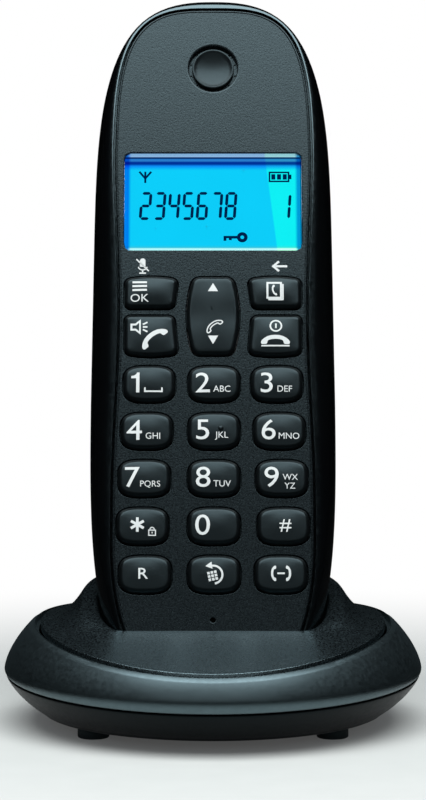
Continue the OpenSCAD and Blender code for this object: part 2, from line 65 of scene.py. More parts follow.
endLevel = reach("rear_cover", up)[0]       # the handset's bottom end
faceLevel = reach("front_cover", deep)[0]   # its front face
baseY = reach("base_band", Vector((0, 1, 0)))[0] + reach("base_band", Vector((1, 0, 0)))[1]


def inHandset(x, n, s):  # across, in from the face, up from the bottom end
    return Vector((x * mm, 0, 0)) + deep * (n * mm + faceLevel) + up * (s * mm + endLevel)


def inBase(x, y, z):     # across, back from the base's middle, up from the table
    return Vector((x * mm, y * mm + baseY, z * mm))


# Camera

cameraSet = {"back": 600, "height": 113, "downDegrees": 4.449, "lens": 132}

cameraData = bpy.data.cameras.new("camera")
cameraData.sensor_width = 36
cameraData.lens = cameraSet["lens"]
camera = bpy.data.objects.new("camera", cameraData)
camera.location = inBase(0, -cameraSet["back"], cameraSet["height"])
camera.rotation_euler = (radians(90 - cameraSet["downDegrees"]), 0, 0)
bpy.context.scene.collection.objects.link(camera)
bpy.context.scene.camera = camera
bpy.context.scene.view_settings.view_transform = "Standard"

# Materials


def hexColour(code):
    parts = [int(code[i:i + 2], 16) / 255 for i in (1, 3, 5)]
    return tuple(c / 12.92 if c <= 0.04045 else ((c + 0.055) / 1.055) ** 2.4 for c in parts) + (1,)


def addNode(material, kind, settings=None, links=None):
    node = material.node_tree.nodes.new("ShaderNode" + kind)
    for key, value in (settings or {}).items():
        if isinstance(key, int) or key in node.inputs:
            node.inputs[key].default_value = value
        else:
            setattr(node, key, value)
    for key, source in (links or {}).items():
        material.node_tree.links.new(source, node.inputs[key])
    return node


def startMaterial(name):
    material = bpy.data.materials.new(name)
    material.use_nodes = True
    material.node_tree.nodes.clear()
    return material, addNode(material, "TexCoord").outputs["Object"]


def finishMaterial(material, settings, links):
    shader = addNode(material, "BsdfPrincipled", settings, links)
    addNode(material, "OutputMaterial", {}, {"Surface": shader.outputs["BSDF"]})
    return material


coolSheen = (0.62, 0.9, 1.0, 1)  # the black plastics mirror the studio a little blue-green


def plastic(name, dark, light, rough, grain=0.8, grainDepth=0.0, gloss=0.5, sheen=coolSheen, ior=1.53):
    # grain is the spacing of the moulded texture, grainDepth its height; real grit is about 0.1 mm
    # apart, too fine to show, so it is drawn at 0.25 mm or more
    material, place = startMaterial(name)
    cloud = addNode(material, "TexNoise", {"Scale": 1 / (9 * mm), "Detail": 3}, {"Vector": place})
    fine = addNode(material, "TexNoise", {"Scale": 1 / (grain * mm), "Detail": 2, "Roughness": 0.6},
                   {"Vector": place})
    colour = addNode(material, "Mix", {"data_type": "RGBA", 6: hexColour(dark), 7: hexColour(light)},
                     {0: cloud.outputs["Fac"]})
    swing = 0.14 if grainDepth > 0.05 else 0.05  # a deep grain scatters the gloss more
    haze = addNode(material, "MapRange", {"From Min": 0.3, "From Max": 0.7, "To Min": rough - swing,
                   "To Max": rough + swing}, {"Value": fine.outputs["Fac"]})
    links = {"Base Color": colour.outputs[2], "Roughness": haze.outputs["Result"]}
    if grainDepth:
        links["Normal"] = addNode(material, "Bump", {"Distance": grainDepth * mm},
                                  {"Height": fine.outputs["Fac"]}).outputs["Normal"]
    return finishMaterial(material, {"IOR": ior, "Specular IOR Level": gloss, "Specular Tint": sheen}, links)


def metal(name, colour, dull, rough, grain=0.3):  # grain: drawing marks, coarser than real so that they show
    material, place = startMaterial(name)
    marks = addNode(material, "TexNoise", {"Scale": 1 / (grain * mm), "Detail": 4}, {"Vector": place})
    tone = addNode(material, "Mix", {"data_type": "RGBA", 6: hexColour(dull), 7: hexColour(colour)},
                   {0: marks.outputs["Fac"]})
    haze = addNode(material, "MapRange", {"To Min": rough - 0.08, "To Max": rough + 0.1},
                   {"Value": marks.outputs["Fac"]})
    bump = addNode(material, "Bump", {"Strength": 0.4, "Distance": 0.01 * mm},
                   {"Height": marks.outputs["Fac"]})
    return finishMaterial(material, {"Metallic": 1.0}, {"Base Color": tone.outputs[2],
                          "Roughness": haze.outputs["Result"], "Normal": bump.outputs["Normal"]})


# ABS, moulded in a spark-eroded tool: a fine sparkle that breaks every reflection into a soft haze
absSparkEroded = plastic("ABS_spark_eroded", "#06080a", "#0a0d0f", 0.28, 0.34, 0.025, 0.42)
# the same on the base, from a deeper and glossier tool: its slopes catch a broad grainy light
absSparkBright = plastic("ABS_spark_eroded_base", "#06080a", "#0a0d0f", 0.3, 0.36, 0.07, 1.0, ior=1.85)
# ABS, moulded in a polished tool: deep black, with clean narrow highlights
absPolished = plastic("ABS_polished", "#030405", "#050607", 0.16, gloss=1.0)
# ABS, moulded in a satin tool: wide soft highlights with no sparkle
absSatin = plastic("ABS_satin", "#040506", "#07090a", 0.43, gloss=1.0, ior=1.78)
# the same under the base, its gloss held down so that the bottom stays dark
absSatinDull = plastic("ABS_satin_dull", "#050607", "#07090a", 0.4, gloss=0.1)
# ABS keys with a silky touch coat: the light rolls off them slowly
absTouchCoat = plastic("ABS_touch_coat", "#050607", "#080a0b", 0.35, 0.3, 0.003, 0.34)
# ABS inside faces, as they leave the tool: dull, with faint flow marks
absInside = plastic("ABS_moulded_inside", "#0b0c0d", "#131516", 0.6, 0.7, 0.01)
# the display's holder is moulded in white so that it throws the light forward
absWhite = plastic("ABS_white_moulded", "#d5d7d6", "#e4e6e5", 0.5, 0.7, 0.008, sheen=(1, 1, 1, 1))
# silicone rubber: no clear highlight, only a dusty bloom
siliconeGrey = plastic("silicone_moulded_grey", "#8d9093", "#9b9ea0", 0.7, 0.5, 0.01, 0.3, (1, 1, 1, 1))
rubberBlack = plastic("rubber_moulded_black", "#101112", "#191b1c", 0.75, 0.5, 0.01, 0.3)
# polyurethane foam: open cells, no gloss at all
foamBlack = plastic("polyurethane_foam", "#131313", "#232323", 0.95, 0.35, 0.08, 0.1)
# pad-printed ink: flat white with a faint tooth
inkWhite = plastic("ink_pad_printed", "#bec4c4", "#c7cccc", 0.55, 0.25, 0.002, 0.3, (1, 1, 1, 1))
# shrink sleeve of the cells: thin glossy film with slow ripples
sleeveGreen = plastic("PVC_shrink_sleeve_green", "#1d5c43", "#23694d", 0.25, 3, 0.05, 0.5, (1, 1, 1, 1))
sleeveWhite = plastic("PVC_shrink_sleeve_white", "#d9dcd8", "#e6e8e4", 0.25, 3, 0.05, 0.5, (1, 1, 1, 1))
# steel, nickel plated: a warm grey mirror with faint drawing marks
steelPlated = metal("steel_nickel_plated", "#cfcecb", "#b2b1ad", 0.3)
# bronze, thinly gold plated: warm yellow, a little clouded
goldPlated = metal("bronze_gold_plated", "#dcb970", "#c79f55", 0.28)
# solder resist over glass-fibre board: green lacquer that shows the weave faintly
boardGreen, boardPlace = startMaterial("glass_epoxy_lacquered")
weave = addNode(boardGreen, "TexVoronoi", {"Scale": 1 / (0.7 * mm)}, {"Vector": boardPlace})
tracks = addNode(boardGreen, "TexBrick", {"Scale": 1 / (3 * mm), "Color1": hexColour("#14462c"),
                 "Color2": hexColour("#184f33"), "Mortar": hexColour("#2c7a50"), "Mortar Size": 0.03},
                 {"Vector": boardPlace})
boardBump = addNode(boardGreen, "Bump", {"Distance": 0.01 * mm}, {"Height": weave.outputs["Distance"]})
finishMaterial(boardGreen, {"Roughness": 0.35}, {"Base Color": tracks.outputs["Color"],
               "Normal": boardBump.outputs["Normal"]})

print("camera and materials")

# Meshes


def loft(rings, closeFirst=False, closeLast=False, loop=False):
    count = len(rings[0])
    verts = [p for ring in rings for p in ring]
    faces = []
    for r in range(len(rings) - (0 if loop else 1)):
        q = (r + 1) % len(rings)
        for c in range(count):
            d = (c + 1) % count
            faces.append((r * count + c, r * count + d, q * count + d, q * count + c))
    if closeFirst:
        faces.append(tuple(range(count))[::-1])
    if closeLast:
        faces.append(tuple(range((len(rings) - 1) * count, len(rings) * count)))
    return verts, faces


def boxMesh(place, low, high):
    corner = [place(x, y, z) for z in (low[2], high[2]) for y in (low[1], high[1]) for x in (low[0], high[0])]
    return corner, [(0, 1, 3, 2), (4, 6, 7, 5), (0, 4, 5, 1), (2, 3, 7, 6), (0, 2, 6, 4), (1, 5, 7, 3)]


def turned(place, middle, profile, along="y", count=48):
    # a turned piece: profile is (radius, level) along the place's second or third direction
    rings = []
    for radius, level in profile:
        ring = []
        for i in range(count):
            a = 2 * pi * i / count
            c, d = radius * cos(a), radius * sin(a)
            ring.append(place(middle[0] + c, level, middle[1] + d) if along == "y"
                        else place(middle[0] + c, middle[1] + d, level))
        rings.append(ring)
    return loft(rings, True, True)


def joined(*meshes):
    verts, faces = [], []
    for v, f in meshes:
        faces += [tuple(i + len(verts) for i in face) for face in f]
        verts += v
    return verts, faces


def makeObject(name, mesh, material=None, smooth=35):
    data = bpy.data.meshes.new(name)
    data.from_pydata([tuple(v) for v in mesh[0]], [], mesh[1])
    tool = bmesh.new()
    tool.from_mesh(data)
    for face in tool.faces:
        face.smooth = True
    bmesh.ops.remove_doubles(tool, verts=tool.verts, dist=1e-7)
    bmesh.ops.recalc_face_normals(tool, faces=tool.faces)
    tool.to_mesh(data)
    tool.free()
    data.set_sharp_from_angle(angle=radians(smooth))
    obj = bpy.data.objects.new(name, data)
    bpy.context.scene.collection.objects.link(obj)
    if material:
        data.materials.append(material)
    return obj


def applied(obj):  # its modifiers go into its mesh
    bpy.context.view_layer.update()
    old = obj.data
    obj.data = bpy.data.meshes.new_from_object(obj.evaluated_get(bpy.context.evaluated_depsgraph_get()))
    obj.modifiers.clear()
    bpy.data.meshes.remove(old)
    obj.data.name = obj.name
    return obj


def combine(obj, mesh, how="DIFFERENCE", smooth=35):
    tool = makeObject("tool", mesh) if isinstance(mesh, tuple) else mesh
    step = obj.modifiers.new("combine", "BOOLEAN")
    step.object, step.operation, step.solver = tool, how, "EXACT"
    applied(obj)
    bpy.data.objects.remove(tool)
    obj.data.set_sharp_from_angle(angle=radians(smooth))
    return obj


def setPiece(obj, body, slotName, *nodes):
    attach(obj, body)
    if nodes:
        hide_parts(*nodes)
    return obj


# Outlines are rings of (x, s) on the handset's face, anticlockwise from the middle of the bottom


def resample(points, count, closed=False):
    points = list(points) + ([points[0]] if closed else [])
    travelled = [0.0]
    for a, b in zip(points, points[1:]):
        travelled.append(travelled[-1] + dist(a, b))
    result, k = [], 0
    for i in range(count + (0 if closed else 1)):
        want = travelled[-1] * i / count
        while k < len(points) - 2 and travelled[k + 1] < want:
            k += 1
        span = travelled[k + 1] - travelled[k]
        t = (want - travelled[k]) / span if span else 0
        result.append(tuple(p + (q - p) * t for p, q in zip(points[k], points[k + 1])))
    return result


def closedOutline(half, low, high, count=110):
    fine = [low + (high - low) * (1 - cos(pi * i / 1500)) / 2 for i in range(1501)]
    right = resample([(half(s), s) for s in fine], count)
    return right + [(-x, s) for x, s in right[-2:0:-1]]


def outwards(ring):
    result = []
    for i in range(len(ring)):
        a, b = ring[i - 1], ring[(i + 1) % len(ring)]
        along = Vector((b[0] - a[0], b[1] - a[1])).normalized()
        result.append((along.y, -along.x))
    return result


def offsetRing(ring, distance):
    return [(p[0] + d[0] * distance, p[1] + d[1] * distance) for p, d in zip(ring, outwards(ring))]


def endRound(t, p, q):
    return 1 if t <= 0 else max(0, 1 - t ** p) ** (1 / q)


def swell(d, far):
    return (1 - cos(pi * min(abs(d) / far, 1))) / 2


def steppedRings(line, profile):  # the outline moved outwards by each distance, at its level
    return [[(x, n, s) for x, s in offsetRing(line, away)] for away, n in profile]


def placed(rings):
    return [[inHandset(*p) for p in ring] for ring in rings]


# Handset covers

handset = {
    "length": 148, "thick": 25, "half": 25.5, "wall": 2.0, "doorWall": 1.6, "doorGap": 0.3,
    "grooveLow": 1.5, "grooveHigh": 145.5, "grooveHalf": 19.55, "grooveWidth": 0.36,
    "sideDepth": 11, "endDepth": 2.6, "shelf": (3.0, 4.4, 0.9),
    "topPivot": 124, "topStart": 8, "lowPivot": 14, "lowStart": 10, "sideStart": 13, "backHalf": 13,
    "door": (31, 74, 6.5), "doorSeam": 0.25, "doorRim": 1.5, "bay": (24.8, 73.3, 11.2, 10.6), "bayWall": 1.4,
    "screw": (15, 119.05), "slotMiddle": 104.3, "slots": (8.5, 2.2, 0.5), "ribs": (5, 6, 1.6),
    "contact": (10, 14.35, 20.65),
}
h = handset


def bodyHalf(s):
    return (h["half"] - 0.009 * max(0, s - 60)) * endRound((s - 79) / 69, 5, 2.54) \
        * endRound((60 - s) / 60, 3, 4)


def grooveHalf(s):
    waist = h["grooveHalf"] + (1.1 * swell(s - 76, 38) if s < 76 else 1.2 * swell(s - 76, 40))
    return waist * endRound((s - h["grooveHigh"] + 45.4) / 45.4, 4.3, 3.3) * endRound((30 - s) / 28.5, 2, 4)


bodyLine = closedOutline(bodyHalf, 0, h["length"])
grooveLine = closedOutline(grooveHalf, h["grooveLow"], h["grooveHigh"])


def bodyRings(inset, crest=0.45, level=0.1, stretch=0):
    # the handset's surface drawn in by inset, from the ridge round its face to its back
    edge, wide = offsetRing(grooveLine, crest), offsetRing(bodyLine, -inset)
    facing = [s for x, s in outwards(bodyLine)]  # how far each point faces along the handset
    rings = []
    for k in range(11):
        f, lift = sin(pi / 2 * k / 10), 1 - cos(pi / 2 * k / 10)
        ring = []
        for (ex, es), (wx, ws), fs in zip(edge, wide, facing):
            depth = max(h["sideDepth"] + (h["endDepth"] - h["sideDepth"]) * abs(fs) ** 0.8, level + stretch)
            ring.append((ex + (wx - ex) * f, level + (depth - level) * lift, es + (ws - es) * f))
        rings.append(ring)
    for k in range(15):
        a = pi / 2 * k / 14
        ring = []
        for (wx, ws), fs in zip(wide, facing):
            start = h["topStart"] if fs > 0 else h["lowStart"]
            start = h["sideStart"] + (start - h["sideStart"]) * abs(fs)
            n = start + (h["thick"] - inset - start) * sin(a)
            x = wx * (h["backHalf"] + (12.5 - inset) * cos(a)) / (h["half"] - inset)
            s = ws
            if ws > h["topPivot"]:
                s = h["topPivot"] + (ws - h["topPivot"]) * cos(a)
            if ws < h["lowPivot"]:
                s = h["lowPivot"] - (h["lowPivot"] - ws) * cos(a)
            ring.append((x, n, s))
        rings.append(ring)
    middle = (h["topPivot"] + h["lowPivot"]) / 2
    rings.append([(x * 0.9, n, middle + (s - middle) * 0.97) for x, n, s in rings[-1]])
    return rings


def shellMesh(inset, thick, rim=()):
    inner = bodyRings(inset + thick, -h["shelf"][2], h["shelf"][1], 1.5)[::-1]
    return loft(placed(inner + list(rim) + bodyRings(inset)), True, True)


def grooveWall():  # the shelf that the front cover sits on, and the wall of the groove round it
    half, shelf = h["grooveWidth"] / 2, h["shelf"][0]
    return steppedRings(grooveLine, [(-h["shelf"][2], shelf), (half, shelf), (half, 0.16),
                                     (half + 0.06, 0.08), (half + 0.16, 0.06)])


doorLow, doorHigh, doorSide = h["door"]


def doorSpace(grow):  # the battery door's part of the back, grown by this much all round
    return boxMesh(inHandset, (-40, doorSide - grow, doorLow - grow), (40, 60, doorHigh + grow))


rearCover = makeObject("rear_cover_shell", shellMesh(0, h["wall"], grooveWall()), absPolished, 40)
combine(rearCover, doorSpace(0))
backing = makeObject("backing", shellMesh(h["doorWall"] + h["doorGap"], 1.5))
combine(backing, doorSpace(h["doorRim"]), "INTERSECT")
combine(rearCover, backing, "UNION")
bayLow, bayHigh, bayHalf, bayFloor = h["bay"]
bayWall = h["bayWall"]
combine(rearCover, boxMesh(inHandset, (-bayHalf - bayWall, bayFloor - bayWall, bayLow - bayWall),
                           (bayHalf + bayWall, 22.8, bayHigh + bayWall)), "UNION")
combine(rearCover, boxMesh(inHandset, (-bayHalf, bayFloor, bayLow), (bayHalf, 22.7, bayHigh)))
combine(rearCover, boxMesh(inHandset, (-bayHalf, bayFloor + 5, doorLow), (bayHalf, 40, bayHigh)))
contactX, contactLow, contactHigh = h["contact"]
for side in (-1, 1):
    place = (side * h["screw"][0], h["screw"][1])
    combine(rearCover, turned(inHandset, place, [(4, 18.6), (4, 23.6)]), "UNION")  # screw post
    combine(rearCover, turned(inHandset, place, [(1.6, 18), (1.6, 21), (2.6, 21), (2.6, 30)]))  # and its bore
    combine(rearCover, boxMesh(inHandset, (side * contactX - 2.15, 20, contactLow),
                               (side * contactX + 2.15, 40, contactHigh)))  # charging contact's opening
grilleR, slotPitch, slotEnd = h["slots"]
for i in range(-3, 4):  # the loudspeaker's slots, with round ends
    half = sqrt(grilleR ** 2 - (slotPitch * i) ** 2) * 0.95 - slotEnd
    ring = [(half * (1 if cos(a) > 0 else -1) + slotEnd * cos(a), slotEnd * sin(a))
            for a in (pi * (2 * k + 1) / 20 for k in range(20))]
    combine(rearCover, loft([[inHandset(x, n, h["slotMiddle"] + slotPitch * i + s) for x, s in ring]
                             for n in (20, 30)], True, True))
setPiece(rearCover, "handset", "gloss_cover", "rear_cover")

door = makeObject("battery_door_shell", shellMesh(0, h["doorWall"]), absPolished, 40)
combine(door, doorSpace(-h["doorSeam"]), "INTERSECT")
ribCount, ribTop, ribPitch = h["ribs"]
ribLine = ((-0.35, -0.3), (-0.2, 0.12), (0, 0.2), (0.2, 0.12), (0.35, -0.3))
for i in range(ribCount):  # thumb ribs near its top edge, each shorter than the last
    s = doorHigh - ribTop - ribPitch * i
    combine(door, loft([[inHandset(x, min(24.8 + rise, 25), s + along) for along, rise in ribLine]
                        for x in (-7 + 0.4 * i, 7 - 0.4 * i)], True, True), "UNION")
setPiece(door, "battery_door", "gloss_cover", "battery_door")
print("rear cover and battery door")

# Keys: name, middle across, middle up the handset, width, height, outline

keypad = {
    "travelTop": -1.3, "edgeTop": -1.02, "wallTop": -0.12, "bevel": 0.95, "corner": 1.3, "gap": 0.25,
    "flange": 0.9, "flangeLevel": 1.7, "foot": 2.2, "size": (10.6, 7.8), "ear": 0.6, "hollow": (0.14, 3.2),
}
padRows = [(62.5, 13.1, "123"), (52.53, 13.55, "456"), (42.56, 14.0, "789"),
           (32.59, 14.3, ("star", "0", "hash")), (22.62, 13.7, ("recall", "redial", "intercom"))]
keys = {"menu": (-12.75, 82.2, 11.1, 7, "upper"), "phone_book": (12.75, 82.2, 11.1, 7, "upper"),
        "talk": (-12.75, 72.8, 11.1, 8.9, "lower"), "end": (12.75, 72.8, 11.1, 8.9, "lower"),
        "rocker": (0, 77.1, 10.8, 16.9, "barrel")}
for rowLevel, column, names in padRows:
    for keyX, name in zip((-column, 0.2, column), names):
        keys[name] = (keyX, rowLevel, *keypad["size"], "pillow")


def roundedLoop(sides, radius):
    # sides meet at four sharp corners; each corner becomes a smooth bend of about this radius
    cut = [resample(side, 60) for side in sides]
    ring = []
    for i, side in enumerate(cut):
        span = dist(side[0], side[1])
        drop = max(1, round(radius / span))
        following = cut[(i + 1) % len(cut)]
        nextDrop = max(1, round(radius / dist(following[0], following[1])))
        ring += side[drop:-drop]
        a, b, corner = Vector(side[-drop - 1]), Vector(following[nextDrop]), Vector(side[-1])
        for k in range(1, 12):
            t = k / 12
            ring.append(tuple(a * (1 - t) ** 3 + (a.lerp(corner, 0.56)) * 3 * t * (1 - t) ** 2
                              + (b.lerp(corner, 0.56)) * 3 * t * t * (1 - t) + b * t ** 3))
    return ring


def keyOutline(name, count=128):
    x, s, w, tall, kind = keys[name]
    steps = [-1 + i / 12 for i in range(25)]
    if kind == "pillow":
        dense = [(w / 2 * copysign(abs(cos(a)) ** 0.66, cos(a)),
                  tall / 2 * copysign(abs(sin(a)) ** 0.58, sin(a)))
                 for a in (pi * 2 * i / 720 for i in range(720))]
    elif kind == "barrel":
        right = [(w / 2 - 1.3 * t * t, tall / 2 * t) for t in steps]
        left = [(-px, py) for px, py in right[::-1]]
        dense = roundedLoop([[left[-1], right[0]], right, [right[-1], left[0]], left], keypad["corner"])
    else:
        bow = [(-w / 2 * t, tall / 2 - 0.6 * t * t) for t in steps]
        low = (-w / 2, -tall / 2), (w / 2 - 0.8, -tall / 2)
        dense = roundedLoop([list(low), [low[1], bow[0]], bow, [bow[-1], low[0]]], keypad["corner"])
        if kind == "lower":
            dense = [(px, -py) for px, py in dense][::-1]
        if x > 0:
            dense = [(-px, py) for px, py in dense][::-1]
    start = min(range(len(dense)), key=lambda i: abs(dense[i][0]) + (0 if dense[i][1] < 0 else 100))
    return [(px + x, py + s) for px, py in resample(dense[start:] + dense[:start], count, closed=True)]


keyPieces = {}
bevel, foot, flangeLevel = keypad["bevel"], keypad["foot"], keypad["flangeLevel"]
wallTop, edgeTop, travelTop = keypad["wallTop"], keypad["edgeTop"], keypad["travelTop"]
for name, (keyX, keyS, w, tall, kind) in keys.items():
    line = keyOutline(name)
    if kind == "barrel":  # it tilts, so it has no flange at its ends
        profile = [(0.12, foot), (0.06, flangeLevel), (0.02, 0.6), (0, wallTop)]
    else:
        profile = [(-keypad["flange"], foot), (-keypad["flange"], flangeLevel), (0, flangeLevel), (0, 0.6),
                   (0, wallTop)]
    for i in range(1, 8):  # the bevel round the top, rolling over from the wall to the face
        a = pi / 2 * i / 7
        profile.append((bevel * (1 - cos(a)) ** 0.8, wallTop + (edgeTop - wallTop) * sin(a) ** 1.2))
    rings = steppedRings(line, [(-inset, n) for inset, n in profile])
    last = offsetRing(line, -bevel)
    for share in (0.93, 0.82, 0.7, 0.56, 0.42, 0.28, 0.14):
        ring = []
        for px, ps in last:
            u, v = (px - keyX) * share, (ps - keyS) * share
            crown = (1 - (u / (w / 2 - bevel)) ** 2) * (1 - (v / (tall / 2 - bevel)) ** 2)
            ring.append((keyX + u, edgeTop + (travelTop - edgeTop) * max(0, crown), keyS + v))
        rings.append(ring)
    if kind == "barrel":  # the rocker's face is hollowed across its middle
        sink, spread = keypad["hollow"]
        rings = [[(px, n + sink * exp(-((ps - keyS) / spread) ** 2) if n < edgeTop + 0.01 else n, ps)
                  for px, n, ps in ring] for ring in rings]
    piece = makeObject("key_" + name + "_cap", loft(placed(rings), True, True), absTouchCoat, 60)
    if name == "5":  # the raised dot that a finger finds
        dot = [(0.55, -1.1), (0.55, -1.36), (0.42, -1.5), (0.2, -1.57)]
        combine(piece, turned(inHandset, (keyX + 1.4, keyS + 0.35), dot, count=24), "UNION", 60)
    if kind == "barrel":  # two ears at its sides hold it instead of the flange
        earHalf = w / 2 + keypad["ear"]
        combine(piece, boxMesh(inHandset, (-earHalf, 1.8, keyS - 2), (earHalf, foot, keyS + 2)), "UNION", 60)
    setPiece(piece, "key_" + name, "keys", "key_" + name)
    keyPieces[name] = piece
print("keys")

# Front cover: a raised bead round a flat plate, with an opening for each key

cover = {"thick": 1.6, "seat": 2.92, "seatWide": 1.5, "bead": 0.6, "plate": 0.06, "lip": 0.12,
         "windowS": 102.3, "window": (37, 21.3, 1.2), "windowGap": 0.3, "ear": (132, 5.12, 4.42),
         "earFloor": 1.3, "soundHoles": (12, 4.8, 0.2), "mic": (13.3, 0.55)}


def roundedBox(w, tall, radius, middle=(0, 0), count=96):
    corners = [(w / 2 - radius, -tall / 2 + radius), (w / 2 - radius, tall / 2 - radius),
               (-w / 2 + radius, tall / 2 - radius), (-w / 2 + radius, -tall / 2 + radius)]
    dense = []
    for i, (cx, cy) in enumerate(corners):
        dense += [(cx + radius * cos(a), cy + radius * sin(a))
                  for a in (pi / 2 * (i - 1 + q / 12) for q in range(13))]
    return [(px + middle[0], py + middle[1]) for px, py in resample(dense, count, closed=True)]


def circle(radius, middle, count=72):
    return [(middle[0] + radius * cos(a), middle[1] + radius * sin(a))
            for a in (2 * pi * i / count for i in range(count))]


def plateFaces(outer, holes, n, front):
    loops = [[Vector((x, s, 0)) for x, s in loop] for loop in [outer] + holes]
    flat = [p for loop in loops for p in loop]
    triangles = tessellate_polygon(loops)
    return [inHandset(p.x, n, p.y) for p in flat], [tuple(t) if front else tuple(t)[::-1] for t in triangles]


def lipProfile(depth):  # (outwards from the opening's wall, level): a small round edge, then the wall
    r, bend = cover["lip"], [pi / 2 * i / 4 for i in range(5)]
    return [(r * (1 - sin(a)), r * (1 - cos(a))) for a in bend] + [(0, depth)]


coverThick, seat, seatWide, plateLevel = cover["thick"], cover["seat"], cover["seatWide"], cover["plate"]
openings = [offsetRing(keyOutline(name), keypad["gap"]) for name in keys]
windowWide, windowTall = cover["window"][:2]
openings.append(roundedBox(windowWide + cover["windowGap"], windowTall + cover["windowGap"], 1.3,
                           (0, cover["windowS"])))
openings.append(circle(cover["mic"][1], (0, cover["mic"][0]), 24))
beadLine = offsetRing(grooveLine, -h["grooveWidth"] / 2)
beadProfile = [(seatWide, coverThick), (seatWide, seat), (0, seat), (0, 0.36), (0.03, 0.24), (0.09, 0.13),
               (0.18, 0.05), (0.28, 0.01), (0.36, 0), (0.42, 0.03), (0.47, 0.12), (0.52, 0.13), (0.56, 0.09),
               (cover["bead"], plateLevel)]
parts = [loft(placed(steppedRings(beadLine, [(-inset, n) for inset, n in beadProfile])))]
plateEdge = offsetRing(beadLine, -cover["bead"])
backEdge = offsetRing(beadLine, -seatWide)
fronts = []
for ring in openings:
    wall = [(d, plateLevel + n * (1 - plateLevel / coverThick)) for d, n in lipProfile(coverThick)]
    parts.append(loft(placed(steppedRings(ring, wall))))
    fronts.append(offsetRing(ring, cover["lip"]))
earS, earR, discR = cover["ear"]
earLine = circle(earR, (0, earS))
earDepth = 0.95  # share of the drawn depth that the recess is given
earProfile = [(0.45, 0), (0.3, 0.01), (0.16, 0.06), (0.06, 0.16), (0, 0.35), (0, cover["earFloor"])]
parts.append(loft(placed(steppedRings(earLine, [(d, plateLevel + n * earDepth) for d, n in earProfile]))))
fronts.append(offsetRing(earLine, earProfile[0][0]))
holeCount, holeRing, holeR = cover["soundHoles"]
soundHoles = [circle(holeR, (holeRing * cos(a), earS + holeRing * sin(a)), 12)
              for a in (pi * (2 * i + 1) / holeCount for i in range(holeCount))]
earFloor = plateLevel + cover["earFloor"] * earDepth
parts.append(plateFaces(earLine, soundHoles, earFloor, True))
for hole in soundHoles:
    parts.append(loft(placed([[(x, n, s) for x, s in hole] for n in (earFloor, coverThick)])))
parts.append(plateFaces(plateEdge, fronts, plateLevel, True))
parts.append(plateFaces(backEdge, openings + soundHoles, coverThick, False))
frontCover = makeObject("front_cover_shell", joined(*parts), absSparkEroded, 30)
for face in frontCover.data.polygons:  # the flat plate is shaded flat up to each lip
    face.use_smooth = abs(face.normal.dot(deep)) < 0.9999
setPiece(frontCover, "handset", "textured_cover", "front_cover")

# the plain disc of the earpiece: a shallow dish with a thin bright rim
dishDepth = 0.72
disc = [(discR - 0.3, 1.0), (discR, 0.95), (discR, 0.3), (discR - 0.08, 0.16), (discR - 0.25, 0.1),
        (discR - 0.42, 0.14)]
disc += [(discR * q - 0.1, 0.14 + dishDepth * (1 - q * q)) for q in (0.88, 0.75, 0.6, 0.45, 0.3, 0.15, 0.05)]
discPiece = makeObject("earpiece_disc_dish", turned(inHandset, (0, earS), disc, count=96), absTouchCoat, 40)
setPiece(discPiece, "handset", "disc", "earpiece_disc")
print("front cover")

# Display

display = {"field": (36.9, 21.2, 1.1), "paneFront": 0.22, "paneBack": 1.2, "panel": (1.22, 2.9)}
fieldWide, fieldTall = display["field"][:2]
low, high = cover["windowS"] - fieldTall / 2, cover["windowS"] + fieldTall / 2
# lit liquid crystal: flat cyan light, with painted shade as deeper blue bands along its top edge and its
# ends, and painted highlights as bright lines along the pane's rim at its top and bottom
litCrystal, crystalPlace = startMaterial("liquid_crystal_lit")
along = addNode(litCrystal, "VectorMath", {"operation": "DOT_PRODUCT", 1: tuple(up)}, {0: crystalPlace})
heightShare = addNode(litCrystal, "MapRange", {"From Min": endLevel + low * mm,
                      "From Max": endLevel + high * mm}, {"Value": along.outputs["Value"]})
across = addNode(litCrystal, "SeparateXYZ", {}, {0: crystalPlace})
widthShare = addNode(litCrystal, "MapRange", {"From Min": -fieldWide / 2 * mm,
                     "From Max": fieldWide / 2 * mm}, {"Value": across.outputs["X"]})
# painted highlight and shade up the display: a bright line at its bottom edge, deep blue shadow bands under
# its top edge, a light line along the top
upwardsPaintedEdges = [(0, "#83b0b4"), (0.012, "#b4fdff"), (0.024, "#b4fdff"), (0.034, "#2dc5de"), (0.06, "#0dcefa"),
           (0.84, "#0dcefa"), (0.885, "#0d88f5"), (0.905, "#003297"), (0.925, "#003297"), (0.94, "#297ccd"),
           (0.955, "#297ccd"), (0.965, "#002766"), (0.975, "#002766"), (0.985, "#93c0ea"), (1, "#85b4e0")]
# painted shade across the display: bluer and darker towards its left and right ends
sidewaysPaintedShade = [(0, "#3ca5f5"), (0.01, "#3ca5f5"), (0.018, "#0396f5"), (0.035, "#ffffff"), (0.965, "#ffffff"),
            (0.98, "#32a5e1"), (0.993, "#32a5e1"), (1, "#0a3c5a")]
shades = []
for share, stops in ((heightShare, upwardsPaintedEdges), (widthShare, sidewaysPaintedShade)):
    shade = addNode(litCrystal, "ValToRGB", {}, {"Fac": share.outputs["Result"]})
    ends = shade.color_ramp.elements
    ends[0].position, ends[0].color = stops[0][0], hexColour(stops[0][1])
    ends[1].position, ends[1].color = stops[-1][0], hexColour(stops[-1][1])
    for place, colour in stops[1:-1]:
        ends.new(place).color = hexColour(colour)
    shades.append(shade.outputs["Color"])
fieldWithPaintedEdges = addNode(litCrystal, "Mix", {"data_type": "RGBA", "blend_type": "MULTIPLY", 0: 1.0},
                     {6: shades[0], 7: shades[1]})
# painted reflection: a slanting wedge near the right end of the display is made lighter and greener
leaning = addNode(litCrystal, "Math", {"operation": "MULTIPLY_ADD", 1: 2.6 * mm},
                  {0: heightShare.outputs["Result"], 2: across.outputs["X"]})
paintedGlare = addNode(litCrystal, "MapRange", {"From Min": 13.3 * mm, "From Max": 13.6 * mm},
                {"Value": leaning.outputs[0]})  # painted reflection of a lamp: brighter beyond a slanted line near the right end
